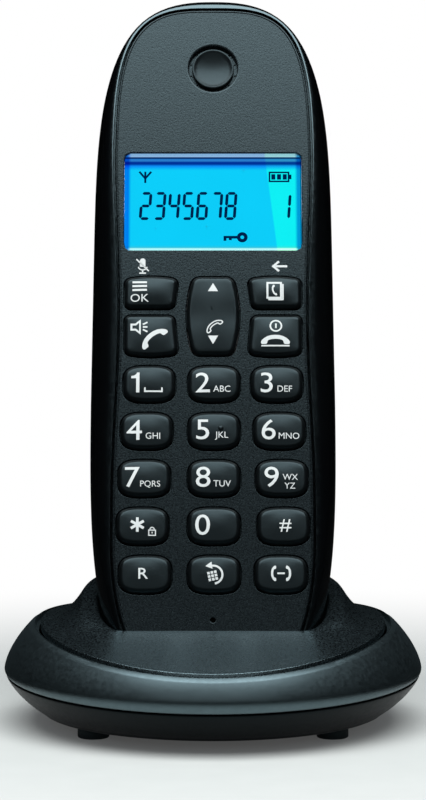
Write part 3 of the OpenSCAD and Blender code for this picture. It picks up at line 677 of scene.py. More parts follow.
crystalWithPaintedGlare = addNode(litCrystal, "Mix", {"data_type": "RGBA", "blend_type": "MULTIPLY",
                        7: (1.25, 1.42, 0.96, 1)}, {0: paintedGlare.outputs["Result"], 6: fieldWithPaintedEdges.outputs[2]})
cells = addNode(litCrystal, "TexNoise", {"Scale": 1 / (12 * mm), "Detail": 1}, {"Vector": crystalPlace})
evenness = addNode(litCrystal, "MapRange", {"To Min": 0.96, "To Max": 1.04}, {"Value": cells.outputs["Fac"]})
finishMaterial(litCrystal, {"Base Color": (0, 0, 0, 1), "Roughness": 0.4, "Specular IOR Level": 0.0},
               {"Emission Color": crystalWithPaintedGlare.outputs[2], "Emission Strength": evenness.outputs["Result"]})
field = roundedBox(*display["field"], (0, cover["windowS"]))
panelFront, panelBack = display["panel"]
panelRings = steppedRings(field, [(-0.2, panelBack), (0, panelBack - 0.2), (0, panelFront)])
crystal = makeObject("display_crystal", loft(placed(panelRings), True, True), litCrystal)
setPiece(crystal, "handset", "display", "display_glass")

# cast acrylic pane: clear, with a fine bevel that catches a line of light
acrylicClear, acrylicPlace = startMaterial("acrylic_cast_polished")
haze = addNode(acrylicClear, "TexNoise", {"Scale": 1 / (5 * mm)}, {"Vector": acrylicPlace})
hazeRange = addNode(acrylicClear, "MapRange", {"To Min": 0.0, "To Max": 0.03}, {"Value": haze.outputs["Fac"]})
finishMaterial(acrylicClear, {"Base Color": (1, 1, 1, 1), "IOR": 1.12, "Transmission Weight": 1.0},
               {"Roughness": hazeRange.outputs["Result"]})
paneLine = roundedBox(*cover["window"], (0, cover["windowS"]))
paneFront = display["paneFront"]
paneRings = steppedRings(paneLine, [(0, display["paneBack"]), (0, paneFront + 0.16),
                                    (-0.05, paneFront + 0.06), (-0.16, paneFront)])
pane = makeObject("window_pane", loft(placed(paneRings), True, True), acrylicClear, 25)
setPiece(pane, "handset", "window", "window")

# Signs on the display: a row of plain digits, a signal mast, a full cell and a padlock key


def polygonShape(*loops):
    flat = [p for loop in loops for p in loop]
    triangles = tessellate_polygon([[Vector((x, y, 0)) for x, y in loop] for loop in loops])
    return [Vector((x, y, 0)) for x, y in flat], [tuple(t) for t in triangles]


def block(x0, y0, x1, y1):
    return [(x0, y0), (x1, y0), (x1, y1), (x0, y1)]


def strokeShape(points, width, closed=False):
    points = [Vector(p) for p in points]
    sides = [], []
    for i, p in enumerate(points):
        before = points[i - 1] if i or closed else p
        after = points[(i + 1) % len(points)] if i < len(points) - 1 or closed else p
        a, b = p - before, after - p
        a, b = (a if a.length else b).normalized(), (b if b.length else a).normalized()
        middle = (a + b).normalized()
        out = Vector((middle.y, -middle.x)) * width / 2 / max(0.5, middle.dot(a))
        sides[0].append(p + out)
        sides[1].append(p - out)
    if closed:
        return polygonShape([tuple(p) for p in sides[0]], [tuple(p) for p in sides[1]])
    return polygonShape([tuple(p) for p in sides[0] + sides[1][::-1]])


def arc(radius, start, end, middle=(0, 0), count=16):
    return [(middle[0] + radius * cos(a), middle[1] + radius * sin(a))
            for a in (radians(start + (end - start) * i / count) for i in range(count + 1))]


def moved(shape, x, y, scale=1, turn=0):
    c, q = cos(radians(turn)) * scale, sin(radians(turn)) * scale
    return [Vector((v.x * c - v.y * q + x, v.x * q + v.y * c + y, 0)) for v in shape[0]], shape[1]


def textShape(words, tallness, wider=1.12, bolder=0.0):  # capitals and digits of this height, centred
    data = bpy.data.curves.new("words", "FONT")
    data.body, data.size, data.align_x, data.resolution_u = words, tallness / 0.7, "CENTER", 4
    data.offset = bolder
    obj = bpy.data.objects.new("words", data)
    bpy.context.scene.collection.objects.link(obj)
    bpy.context.view_layer.update()
    mesh = bpy.data.meshes.new_from_object(obj.evaluated_get(bpy.context.evaluated_depsgraph_get()))
    verts, faces = [v.co.copy() for v in mesh.vertices], [tuple(p.vertices) for p in mesh.polygons]
    bpy.data.objects.remove(obj)
    bpy.data.meshes.remove(mesh)
    low = Vector((min(v.x for v in verts), min(v.y for v in verts), 0))
    high = Vector((max(v.x for v in verts), max(v.y for v in verts), 0))
    middle = (low + high) / 2
    return [Vector(((v.x - middle.x) * wider, v.y - middle.y, 0)) for v in verts], faces


def segmentDigit(number, w, tall, bar):  # seven-segment digit, centred
    lit = {"0": "abcdef", "1": "bc", "2": "abdeg", "3": "abcdg", "4": "bcfg", "5": "acdfg", "6": "acdefg",
           "7": "abc", "8": "abcdefg", "9": "abcdfg"}[number]
    x, y, b = w / 2 - bar / 2, tall / 2 - bar / 2, bar / 2
    ends = {"a": ((-x, y), (x, y)), "d": ((-x, -y), (x, -y)), "g": ((-x, 0), (x, 0)), "b": ((x, 0), (x, y)),
            "c": ((x, -y), (x, 0)), "e": ((-x, -y), (-x, 0)), "f": ((-x, 0), (-x, y))}
    shapes = []
    for name in lit:
        p, q = Vector(ends[name][0]), Vector(ends[name][1])
        t = (q - p).normalized()
        side = Vector((t.y, -t.x)) * b
        p, q = p + t * bar * 0.1, q - t * bar * 0.1
        line = (p, p + t * b + side, q - t * b + side, q, q - t * b - side, p + t * b - side)
        shapes.append(polygonShape([tuple(v) for v in line]))
    slant = [[Vector((v.x + v.y * 0.07, v.y, 0)) for v in shape[0]] for shape in shapes]
    return joined(*[(verts, shape[1]) for verts, shape in zip(slant, shapes)])


def laidOn(name, shape, middle, surface, body, slotName, material, proud=0.03, thick=0.05):
    # a printed sign: its outline is laid on the surface under it and follows its curve
    tree = BVHTree.FromPolygons([v.co for v in surface.data.vertices],
                                [p.vertices for p in surface.data.polygons])
    tool = bmesh.new()
    points = [tool.verts.new((v.x, v.y, 0)) for v in shape[0]]
    for face in shape[1]:
        corners = [points[i] for i in face]
        if len(set(face)) == len(face) and not tool.faces.get(corners):
            tool.faces.new(corners)
    bmesh.ops.remove_doubles(tool, verts=tool.verts, dist=1e-5)
    for _ in range(3):
        longEdges = [e for e in tool.edges if e.calc_length() > 0.9]
        if longEdges:
            bmesh.ops.subdivide_edges(tool, edges=longEdges, cuts=1)
            bmesh.ops.triangulate(tool, faces=tool.faces)
    for v in tool.verts:
        start = inHandset(middle[0] + v.co.x, -6, middle[1] + v.co.y)
        hit = tree.ray_cast(start, deep)[0] or inHandset(middle[0] + v.co.x, 0, middle[1] + v.co.y)
        v.co = hit - deep * proud * mm
    for face in tool.faces:
        face.normal_update()
        if face.normal.dot(deep) > 0:
            face.normal_flip()
    data = bpy.data.meshes.new(name)
    tool.to_mesh(data)
    tool.free()
    data.materials.append(material)
    obj = bpy.data.objects.new(name, data)
    bpy.context.scene.collection.objects.link(obj)
    ink = obj.modifiers.new("ink", "SOLIDIFY")
    ink.thickness, ink.offset = thick * mm, -1
    return setPiece(obj, body, slotName)


# liquid crystal segments where the light is blocked: deep blue, flat
litSegment, segmentPlace = startMaterial("liquid_crystal_dark")
edgeNoise = addNode(litSegment, "TexNoise", {"Scale": 1 / (0.4 * mm)}, {"Vector": segmentPlace})
segmentTone = addNode(litSegment, "Mix", {"data_type": "RGBA", 6: hexColour("#001a44"),
                      7: hexColour("#002450")}, {0: edgeNoise.outputs["Fac"]})
finishMaterial(litSegment, {"Base Color": (0, 0, 0, 1), "Roughness": 0.5, "Specular IOR Level": 0.0,
               "Emission Strength": 1.0}, {"Emission Color": segmentTone.outputs[2]})
signs = [moved(segmentDigit(number, 2.45, 6.2, 0.62), -14.1 + 2.97 * i, -0.7)
         for i, number in enumerate("2345678")]
signs.append(moved(segmentDigit("1", 2.35, 5.9, 0.6), 15.1, -0.8))
topRow = 5.75
for points in ([(-1.25, 1.15), (0, -0.35)], [(1.25, 1.15), (0, -0.35)], [(0, 1.15), (0, -1.35)]):
    signs.append(moved(strokeShape(points, 0.42), -14.2, topRow))  # the mast
signs.append(moved(strokeShape(block(-2.0, -1.0, 2.0, 1.0), 0.34, True), 13.85, topRow))  # the cell
signs.append(moved(polygonShape(block(2.15, -0.5, 2.6, 0.5)), 13.85, topRow))
for i in range(3):
    signs.append(moved(polygonShape(block(-0.42, -0.6, 0.42, 0.6)), 12.65 + 1.2 * i, topRow))
keyPlace = (6.1, -7.6)
keyBit = [(-0.9, 0.3), (-3.9, 0.3), (-3.9, -0.8), (-3.3, -0.75), (-3.3, -0.2), (-2.8, -0.2), (-2.8, -0.6),
          (-2.2, -0.65), (-2.2, -0.28), (-0.9, -0.28)]
signs.append(moved(strokeShape(arc(0.76, 0, 345, count=20), 0.72, True), *keyPlace))
signs.append(moved(polygonShape(keyBit), *keyPlace))
laidOn("display_signs", joined(*signs), (0, cover["windowS"]), crystal, "handset", "display", litSegment,
       0.03, 0.02)
print("display")

# Printed signs of the keys, in millimetres from the middle of each key


def handsetLine(w):  # outline of a telephone handset seen from the side, its ends downwards
    half = [(0, 0.82), (0.8, 0.78), (1.6, 0.6), (2.3, 0.28), (2.8, -0.1), (3.0, -0.42), (2.95, -0.66),
            (2.75, -0.8), (2.0, -0.8), (1.78, -0.7), (1.68, -0.5), (1.62, -0.25), (1.4, -0.08), (0.8, 0.06),
            (0, 0.12)]
    line = half + [(-x, y) for x, y in half[-2:0:-1]]
    return [(x * w / 6, y * w / 5) for x, y in line]


def handsetSign(w):
    return polygonShape(handsetLine(w))


def triangleSign(w, tall, turn):
    return moved(polygonShape([(-w / 2, -tall / 2), (w / 2, -tall / 2), (0, tall / 2)]), 0, 0, 1, turn)


def muteSign():
    head = polygonShape([(-0.5, -0.1)] + [(0.5, -0.1)] + arc(0.5, 0, 180, (0, 1.0), 10))
    stand = strokeShape(arc(0.85, 200, 340, (0, 0.15), 12), 0.22)
    foot = joined(strokeShape([(0, -0.7), (0, -1.25)], 0.26), strokeShape([(-0.6, -1.3), (0.6, -1.3)], 0.26))
    slash = strokeShape([(-1.15, 1.35), (1.1, -0.9)], 0.24)
    return joined(head, stand, foot, slash)


def backSign():
    return joined(strokeShape([(-0.9, 0), (1.6, 0)], 0.45),
                  strokeShape([(-0.1, 1.05), (-1.3, 0), (-0.1, -1.05)], 0.45))


def menuSign():
    return joined(*[strokeShape([(-1.5, y), (1.5, y)], 0.42) for y in (-0.85, 0, 0.85)])


def bookSign():
    return joined(strokeShape([(-1.55, 1.75), (1.25, 1.75), (1.25, -1.5), (-1.55, -1.5)], 0.4, True),
                  strokeShape([(-1.35, -1.85), (1.65, -1.85), (1.65, 1.5)], 0.32),
                  moved(handsetSign(2.4), -0.2, 0.1, 1, 105))


def speakerSign():
    box = strokeShape([(-1.55, -0.5), (-0.75, -0.5), (0.05, -1.2), (0.05, 1.2), (-0.75, 0.5), (-1.55, 0.5)],
                      0.36, True)
    sound = [strokeShape([(0.6, y), (1.45, y * 1.9)], 0.3) for y in (-0.5, 0, 0.5)]
    return joined(box, *sound)


def endSign():
    return joined(strokeShape(arc(1.15, 0, 345, (0.1, 1.9), 23), 0.32, True),
                  strokeShape([(0.1, 1.4), (0.1, 2.4)], 0.32), moved(handsetSign(6.0), 0, -1.05),
                  strokeShape([(-2.9, -2.35), (2.9, -2.35)], 0.3))


def padlockSign():
    return joined(strokeShape(block(-0.8, -0.95, 0.8, 0.3), 0.26, True),
                  strokeShape(arc(0.52, 0, 180, (0, 0.45), 12), 0.24),
                  strokeShape([(0, -0.5), (0, -0.1)], 0.26))


def redialSign():  # a keypad with an arrow that turns back over it
    dots = [polygonShape(block(x - 0.26, y - 0.26, x + 0.26, y + 0.26))
            for x in (-0.35, 0.35, 1.05) for y in (-1.3, -0.6, 0.1)]
    turn = strokeShape(arc(1.85, -80, 105, (0, -0.25), 22), 0.4)
    head = moved(polygonShape([(-0.75, -0.5), (0.75, -0.5), (0, 0.85)]), -0.75, 1.62, 1, 98)
    return joined(turn, head, *[moved(dot, -0.6, 0, 1, 12) for dot in dots])


def pairSign():  # two handsets and the line between them
    return joined(moved(handsetSign(3.2), -1.5, 0, 1, 90), moved(handsetSign(3.2), 1.5, 0, 1, -90),
                  strokeShape([(-0.75, 0), (0.75, 0)], 0.34))


def oneSign():
    return polygonShape([(0.0, -2.12), (0.68, -2.12), (0.68, 2.12), (0.2, 2.12), (0.0, 1.75), (-0.45, 1.45),
                         (-1.0, 1.35), (-1.0, 0.88), (0.0, 0.88)])


def starSign():
    return joined(*[moved(strokeShape([(-1.5, 0), (1.5, 0)], 0.55), 0, 0, 1, turn) for turn in (30, 90, 150)])


digitTall, letterTall, smallLetters = 4.25, 1.3, 1.24
# (shape, across, up) of each sign; the digits' keys follow as (across, up) and their letter groups
keySigns = {
    "menu": [(menuSign(), -2.4, 1.1), (textShape("OK", 1.65), -2.4, -1.45)],
    "phone_book": [(bookSign(), 0.05, 0.05)],
    "talk": [(moved(speakerSign(), 0, 0, 1.1), -2.35, 1.65),
             (moved(handsetSign(6.4), 0, 0, 1, 38), 0.45, -0.55)],
    "end": [(endSign(), 0.1, 0)],
    "rocker": [(triangleSign(2.1, 1.8, 0), 0, 6.0),
               (moved(strokeShape(handsetLine(3.9), 0.24, True), 0, 0, 1, 38), 0.15, -2.3),
               (triangleSign(2.1, 1.8, 180), 0, -5.4)],
    "1": [(oneSign(), -2.65, 0.1),
          (strokeShape([(-1.75, 0.5), (-1.75, -0.3), (1.75, -0.3), (1.75, 0.5)], 0.32), 0.9, -1.5)],
}
for digit, x, s, tall, groups in (
        ("2", -2.3, 0.1, letterTall, [("ABC", 1.6, -1.25)]),
        ("3", -2.1, 0.1, letterTall, [("DEF", 1.6, -1.25)]),
        ("4", -2.5, 0.0, letterTall, [("GHI", 1.3, -1.25)]),
        ("5", -2.3, 0.1, letterTall, [("JKL", 1.55, -1.25)]),
        ("6", -2.2, 0.1, letterTall, [("MNO", 1.95, -1.25)]),
        ("7", -2.4, 0.05, smallLetters, [("PQRS", 1.25, -1.45)]),
        ("8", -2.2, 0.1, letterTall, [("TUV", 1.65, -1.3)]),
        ("9", -2.1, 0.1, smallLetters, [("WX", 1.7, 0.05), ("YZ", 1.6, -1.75)])):
    keySigns[digit] = [(textShape(digit, digitTall), x, s)]
    keySigns[digit] += [(textShape(letters, tall, 1.0), px, py) for letters, px, py in groups]
keySigns.update({
    "star": [(starSign(), -1.0, 0.1), (moved(padlockSign(), 0, 0, 0.85), 2.0, -1.3)],
    "0": [(textShape("0", digitTall), -2.3, 0.1)],
    "hash": [(textShape("#", 2.6), 0.35, -0.1)],
    "recall": [(textShape("R", 2.25, 1.12, 0.015), -0.35, 0)],
    "redial": [(redialSign(), -0.15, 0)],
    "intercom": [(pairSign(), 0, 0)],
})
for name, shapes in keySigns.items():
    sign = joined(*[moved(shape, x, s) for shape, x, s in shapes])
    laidOn("key_" + name + "_sign", sign, keys[name][:2], keyPieces[name], "key_" + name, "keys", inkWhite)
faceSigns = joined(moved(muteSign(), -14.6, 0, 1.15), moved(backSign(), 13.8, 0))
laidOn("face_signs", faceSigns, (0, 88.0), frontCover, "handset", "textured_cover", inkWhite)
print("printed signs")

# Base covers: columns run round from the front, rings run from the middle outwards or down

base = {
    "reach": 28, "bulge": 14.97, "belly": 11.3, "upper": 14.93, "lower": 11.4, "floor": 2.2, "columns": 160,
    "archBack": 10, "archTop": 21.7, "archRadius": 230, "seamFront": 8.6, "seamTilt": 2.6, "topInset": 1.3,
    "collar": (26.3, 17.5, 15.4), "flare": 13, "rimFront": -15.5, "rimLevel": 21.6, "rimTilt": 14.6,
    "rimRound": 0.5, "pocketGap": 0.4, "wall": 1.6, "pageLevel": 15.6, "page": 2.4, "pageGap": 0.25,
    "socket": (12, 12.2, 9.6, 29.2), "boardTop": 7.4, "socketRise": 4.8, "vents": (6, 3, 1.2, 11),
    "feet": (30.4, (-38, 56)), "screws": (31, (-17, 42)),
}
b = base


def baseRadius(z):
    t = abs(z - b["belly"]) / (b["upper"] if z > b["belly"] else b["lower"])
    return b["reach"] + b["bulge"] * max(0, 1 - t ** 1.5) ** (2 / 3)


def archLevel(y):
    return b["archTop"] - b["archRadius"] + sqrt(b["archRadius"] ** 2 - (y - b["archBack"]) ** 2)


def seamLevel(y):
    return b["seamFront"] + (y + 43) * tan(radians(b["seamTilt"]))


turns = [2 * pi * i / b["columns"] for i in range(b["columns"])]


def onBase(a, radius, z):  # a is the turn from the front
    return inBase(radius * sin(a), -radius * cos(a), z)


def meeting(a, inset, level):  # where the side, drawn in by inset, meets the surface level(y)
    z = 12
    for _ in range(14):
        z = level(-(baseRadius(z) - inset) * cos(a))
    return z


def ringRound(level, inset=0, drop=0):  # level(a) is the height at each turn, where the side is measured
    ring = []
    for a in turns:
        z = level(a)
        ring.append(onBase(a, baseRadius(z) - inset, z - drop))
    return ring


def flatRing(radius, z):
    return [onBase(a, radius, z) for a in turns]


def seamAt(a, rise=0):  # the parting line between the band and the bottom cover
    return meeting(a, 0, seamLevel) + rise


def between(start, end, k, count):
    return start + (end - start) * k / count


seamEdge = [(2.0, 0.12), (0.36, 0.12), (0.16, 0.17), (0.05, 0.3), (0, 0.5)]  # inset, distance from the seam
bandRings = [ringRound(lambda a: seamAt(a, rise), inset) for inset, rise in seamEdge]
for k in range(1, 26):
    bandRings.append(ringRound(lambda a: between(seamAt(a, 0.5), meeting(a, 0, archLevel) - 0.9, k, 25)))
crown = [(0.0, 0.36), (0.02, 0.28), (0.06, 0.22), (0.1, 0.22), (0.13, 0.27), (0.14, 0.5), (0.16, 1.6),
         (0.94, 1.65), (0.96, 2.6)]
for inset, drop in crown:
    bandRings.append(ringRound(lambda a: meeting(a, inset, archLevel), inset, drop))
for inset, rise in ((1.9, 4.5), (2.0, 3.0)):
    bandRings.append(ringRound(lambda a: seamAt(a, rise), inset))
band = makeObject("base_band_ring", loft(bandRings, loop=True), absSatin, 40)
socketX, mouthW, mouthH, mouthBack = b["socket"]
socketLevel = b["boardTop"] + b["socketRise"]
windows = [boxMesh(inBase, (side * socketX - mouthW / 2, mouthBack, socketLevel - mouthH / 2),
                   (side * socketX + mouthW / 2, 60, socketLevel + mouthH / 2)) for side in (-1, 1)]
for window in windows:
    combine(band, window, smooth=40)
pageHole = b["page"] + b["pageGap"]
combine(band, turned(inBase, (0, b["pageLevel"]), [(pageHole, 30), (pageHole, 36), (pageHole, 60)]))
setPiece(band, "base", "satin_cover", "base_band")

bottomRings = [ringRound(lambda a: seamAt(a, -drop), inset) for inset, drop in seamEdge]
for k in range(1, 17):
    bottomRings.append(ringRound(lambda a: between(seamAt(a, -0.5), b["floor"] + 0.5, k, 16)))
footR = baseRadius(b["floor"] + 0.5)
floorTop = b["floor"] + b["wall"]
for inset, rise in ((0.25, 0.22), (0.6, 0.06), (1.1, 0), (6, 0), (14, 0), (24, 0)):
    bottomRings.append(flatRing(footR - inset, b["floor"] + rise))
for radius, z in ((2, b["floor"]), (2, floorTop), (footR - 5, floorTop), (footR - 2.2, floorTop + 0.8)):
    bottomRings.append(flatRing(radius, z))
bottomRings.append(ringRound(lambda a: seamAt(a, -2.5), 2.0))
bottomCover = makeObject("base_bottom_shell", loft(bottomRings, loop=True), absSatinDull, 40)
plug = loft([[onBase(a, 3, z) for a in turns[::5]] for z in (b["floor"], floorTop)], True, True)
combine(bottomCover, plug, "UNION", 40)
for window in windows:
    combine(bottomCover, window, smooth=40)


def ringPlaces(radius, angles):
    return [(side * radius * cos(radians(q)), radius * sin(radians(q)))
            for q in angles for side in (-1, 1)]


for place in ringPlaces(*b["screws"]):
    combine(bottomCover, turned(inBase, place, [(3.4, 2.9), (3.4, 8.2)], "z"), "UNION", 40)
    combine(bottomCover, turned(inBase, place, [(2.6, 1), (2.6, 4.6), (1.6, 4.6), (1.6, 20)], "z"), smooth=40)
ventCount, ventPitch, ventWide, ventLong = b["vents"]
ventLine = roundedBox(ventWide, ventLong, 0.59, count=24)
for i in range(ventCount):  # vents under the board
    x = (i - (ventCount - 1) / 2) * ventPitch
    combine(bottomCover, loft([[inBase(px + x, py - 6, z) for px, py in ventLine] for z in (1, 6)],
                              True, True), smooth=40)
setPiece(bottomCover, "base", "satin_cover", "base_bottom_cover")
print("base band and bottom")

# Top cover: the pocket follows the handset's own form, a little larger all round
pocketForm = loft(placed(bodyRings(-b["pocketGap"])), True, True)
pocketTree = BVHTree.FromPolygons([tuple(v) for v in pocketForm[0]], pocketForm[1])
tilt = radians(b["rimTilt"])
rimAcross, rimBack = Vector((1, 0, 0)), Vector((0, cos(tilt), sin(tilt)))
rimUp = rimAcross.cross(rimBack)
handsetMiddle = inHandset(0, h["thick"] / 2, 0)
rimFrontPoint = inBase(0, b["rimFront"], b["rimLevel"])
walk = (rimFrontPoint - handsetMiddle).dot(rimUp) / up.dot(rimUp)
pocketMiddle = handsetMiddle + up * walk


def pocketPoint(a, dive):  # a turns from the front, dive goes down from the rim's plane
    flat = -rimBack * cos(a) + rimAcross * sin(a)
    ray = flat * cos(dive) - rimUp * sin(dive)
    return pocketTree.ray_cast(pocketMiddle, ray)[0]


def levelOutwards(ring):  # level directions, outwards from a ring round the base
    result = []
    for i in range(len(ring)):
        along = ring[(i + 1) % len(ring)] - ring[i - 1]
        result.append(Vector((along.y, -along.x, 0)).normalized())
    return result


topRings = []
for k in range(13, 0, -1):
    topRings.append([pocketPoint(a, radians(88.5) * (k / 13) ** 0.8) for a in turns])
rim = [pocketPoint(a, 0) for a in turns]
outs = levelOutwards(rim)
lip = b["rimRound"]
for q in (0, 22, 45, 68, 90):
    w = radians(q)
    topRings.append([p + o * mm * lip * (1 - cos(w)) - rimUp * mm * lip * (1 - sin(w))
                     for p, o in zip(rim, outs)])
rimEdge = topRings[-1]
crest = []
collarHalf, collarDeep, collarMiddle = b["collar"]
middle = rimFrontPoint + rimBack * collarMiddle * mm
for p in rimEdge:  # the land round the pocket ends at the collar's outline, a full oval of power 3.4
    away = (p - pocketMiddle).normalized()
    away = (away - rimUp * away.dot(rimUp)).normalized()
    far, q = 0.0, p
    while far < 12:
        x, v = q.dot(rimAcross) / mm / collarHalf, (q - middle).dot(rimBack) / mm / collarDeep
        if abs(x) ** 3.4 + abs(v) ** 3.4 > 1:
            break
        far += 0.04
        q = p + away * far * mm
    crest.append(q)
for share in (0.25, 0.5, 0.75, 1.0):
    topRings.append([p.lerp(q, share) for p, q in zip(rimEdge, crest)])
outs = levelOutwards(crest)
for _ in range(12):  # the directions turn evenly, so that no two cross
    outs = [(outs[i - 1] + outs[i] + outs[(i + 1) % len(outs)]).normalized() for i in range(len(outs))]
reaches = []
for p, o in zip(crest, outs):
    far = 0.0
    for step in (4, 2, 1, 0.5, 0.25, 0.12, 0.06, 0.03):
        while True:
            q = p + o * (far + step) * mm
            y = (q.y - baseY) / mm
            if hypot(q.x / mm, y) > baseRadius(archLevel(y)) - b["topInset"] - 0.3:
                break
            far += step
    reaches.append(far)


def flare(p, o, far, share):
    away = far * share
    q = p + o * away * mm
    y, y0 = (q.y - baseY) / mm, (p.y - baseY) / mm
    wide = min(0.93 * far, b["flare"])
    t, soft = away / wide, 0.16
    t = t * t / (2 * soft) if t < soft else t - soft / 2
    lift = (p.z / mm - archLevel(y0)) * max(0, 1 - t / (1 - soft / 2)) ** 2.3
    return Vector((q.x, q.y, (archLevel(y) + lift) * mm))


for share in (0.02, 0.045, 0.075, 0.11, 0.15, 0.19, 0.24, 0.3, 0.37, 0.45, 0.54, 0.64, 0.75, 0.87, 0.95, 1.0):
    topRings.append([flare(p, o, far, share) for p, o, far in zip(crest, outs, reaches)])
last = topRings[-1]
sides = [Vector((p.x, p.y - baseY, 0)).normalized() for p in last]
for out, drop in ((0.14, 0.01), (0.25, 0.04), (0.3, 0.11), (0.3, 1.3)):
    topRings.append([p + d * out * mm - Vector((0, 0, drop * mm)) for p, d in zip(last, sides)])
topCover = makeObject("base_top_shell", loft(topRings, True), absSparkBright, 40)
wall = topCover.modifiers.new("wall", "SOLIDIFY")
wall.thickness, wall.offset = b["wall"] * mm, -1
applied(topCover)
topCover.data.set_sharp_from_angle(angle=radians(40))
for side in (-1, 1):  # the charging contacts come through these
    combine(topCover, boxMesh(inHandset, (side * contactX - 1.9, 24, 13), (side * contactX + 1.9, 28.5, 21)),
            smooth=40)
setPiece(topCover, "base", "textured_cover", "base_top_cover")
print("base top cover")

# Small and inner pieces

inner = {
    "cell": (5.45, 16.2, 27.4, 43.7), "coil": (3.2, 3, 24), "wire": 0.3,
    "handsetContact": (4, 6, 17.5), "handsetScrew": (22.6, 6), "baseScrew": (3.2, 13.4),
    "leaf": (3, 0.38), "leafFoot": (9.4, 5.2), "mouth": (9.4, 6.8, 12.2), "socketHalf": 5.8,
    "socketDepth": 13, "wirePitch": 1.02, "pageArm": (3.4, 9.0, 13.1), "cross": (1.6, 0.3, 0.7),
}


def prism(place, line, profile, along="y"):  # an outline drawn in by each inset at its level
    return loft([[place(p, level, q) if along == "y" else place(p, q, level)
                  for p, q in offsetRing(line, -inset)] for inset, level in profile], True, True)


def tubeMesh(points, radius, count=10):  # round wire along a line of points, in millimetres
    rings, side = [], None
    for i, p in enumerate(points):
        way = (points[min(i + 1, len(points) - 1)] - points[max(i - 1, 0)]).normalized()
        side = (side - way * side.dot(way) if side else way.orthogonal()).normalized()
        other = way.cross(side)
        rings.append([p + (side * cos(a) + other * sin(a)) * radius * mm
                      for a in (2 * pi * q / count for q in range(count))])
    return loft(rings, True, True)


cellX, cellN, cellLow, cellLong = inner["cell"]
coilR, coilTurns, coilSteps = inner["coil"]
# (radius, distance from the flat end) of each part of a cell
greenLine = [(3.8, 0.1), (4.6, 0.02), (5.02, 0.14), (5.18, 0.5), (5.2, 1.2), (5.2, 29.4), (5.12, 29.5)]
whiteLine = [(5.1, 29.5), (5.2, 29.55), (5.2, 42.6), (5.12, 43.1), (4.9, 43.45), (4.2, 43.6), (3.1, 43.4)]
flatLine = [(3.75, 0.25), (3.7, 0.06), (3.3, 0.02)]
buttonLine = [(3.3, 43.3), (2.6, 43.42), (1.9, 43.5), (1.9, 44.3), (1.75, 44.46), (1.3, 44.5)]


def cellPart(side, line, count=48):  # the two cells lie head to tail
    levels = [(r, cellLow + t if side > 0 else cellLow + cellLong - t) for r, t in line]
    return turned(inHandset, (side * cellX, cellN), levels, "z", count)


greens, whites, steels, springs = [], [], [], []
for side in (-1, 1):
    greens.append(cellPart(side, greenLine, 64))
    whites.append(cellPart(side, whiteLine, 64))
    steels += [cellPart(side, flatLine), cellPart(side, buttonLine)]
    start, way = (bayLow, 1) if side > 0 else (bayHigh, -1)
    last = coilTurns * coilSteps
    coil = []
    for k in range(last + 1):  # it narrows towards the cell
        a, r = k / coilSteps * 2 * pi, coilR - k / last
        coil.append(inHandset(side * cellX + r * cos(a), cellN + r * sin(a),
                              start + way * (0.36 + 1.85 * k / last)))
    springs.append(tubeMesh(coil, inner["wire"]))
setPiece(makeObject("cell_sleeves_green", joined(*greens), sleeveGreen), "handset", "cell_sleeve",
         "battery_cells")
setPiece(makeObject("cell_sleeves_white", joined(*whites), sleeveWhite), "handset", "cell_sleeve")
setPiece(makeObject("cell_ends", joined(*steels), steelPlated), "handset", "spring_steel")
setPiece(makeObject("battery_coil_springs", joined(*springs), steelPlated), "handset", "spring_steel",
         "battery_springs")

wide, tall, level = inner["handsetContact"]
plates = []
for x in (-contactX, contactX):
    plates.append(prism(inHandset, roundedBox(wide, tall, 0.7, (x, level), 48),
                        [(0.05, 24.3), (0, 24.36), (0, 24.8), (0.07, 24.93), (0.25, 25), (1.2, 25)]))
    plates.append(prism(inHandset, roundedBox(2, 0.4, 0.12, (x, level - 2.8), 24),
                        [(0.06, 5.2), (0, 5.3), (0, 24.4)]))
setPiece(makeObject("charging_plates", joined(*plates), goldPlated), "handset", "contact_metal",
         "handset_contacts")


def screw(name, place, middle, head, end, along):
    way = 1 if end > head else -1
    profile = [(r, head + way * t) for r, t in ((1.3, 0), (1.9, 0.1), (2.2, 0.4), (2.3, 0.8), (2.3, 1.35),
                                               (2.2, 1.42), (0.95, 1.5), (0.8, 2.2))]
    level = head + way * 2.2
    while abs(end - level) > 1.5:  # the thread's turns
        profile += [(0.8, level + way * 0.1), (1.0, level + way * 0.34)]
        level += way * 0.6
    profile += [(0.8, level + way * 0.1), (0.2, end)]
    obj = makeObject(name, turned(place, middle, profile, along), steelPlated, 30)
    long, short, sunk = inner["cross"]
    for across, other in ((long, short), (short, long)):
        ends = [(middle[0] + q * across, lev, middle[1] + q * other)
                for q, lev in ((-1, head - way), (1, head + way * sunk))]
        if along == "z":
            ends = [(x, s, n) for x, n, s in ends]
        combine(obj, boxMesh(place, *ends), smooth=30)
    return obj


for side, word in ((-1, "left"), (1, "right")):
    place = (side * h["screw"][0], h["screw"][1])
    piece = screw("cover_screw_" + word, inHandset, place, *inner["handsetScrew"], "y")
    setPiece(piece, "handset", "spring_steel", *(["handset_screws"] if side < 0 else []))
for i, place in enumerate(ringPlaces(*b["screws"])):
    piece = screw("base_screw_%d" % (i + 1), inBase, place, *inner["baseScrew"], "z")
    setPiece(piece, "base", "spring_steel", *([] if i else ["base_screws"]))

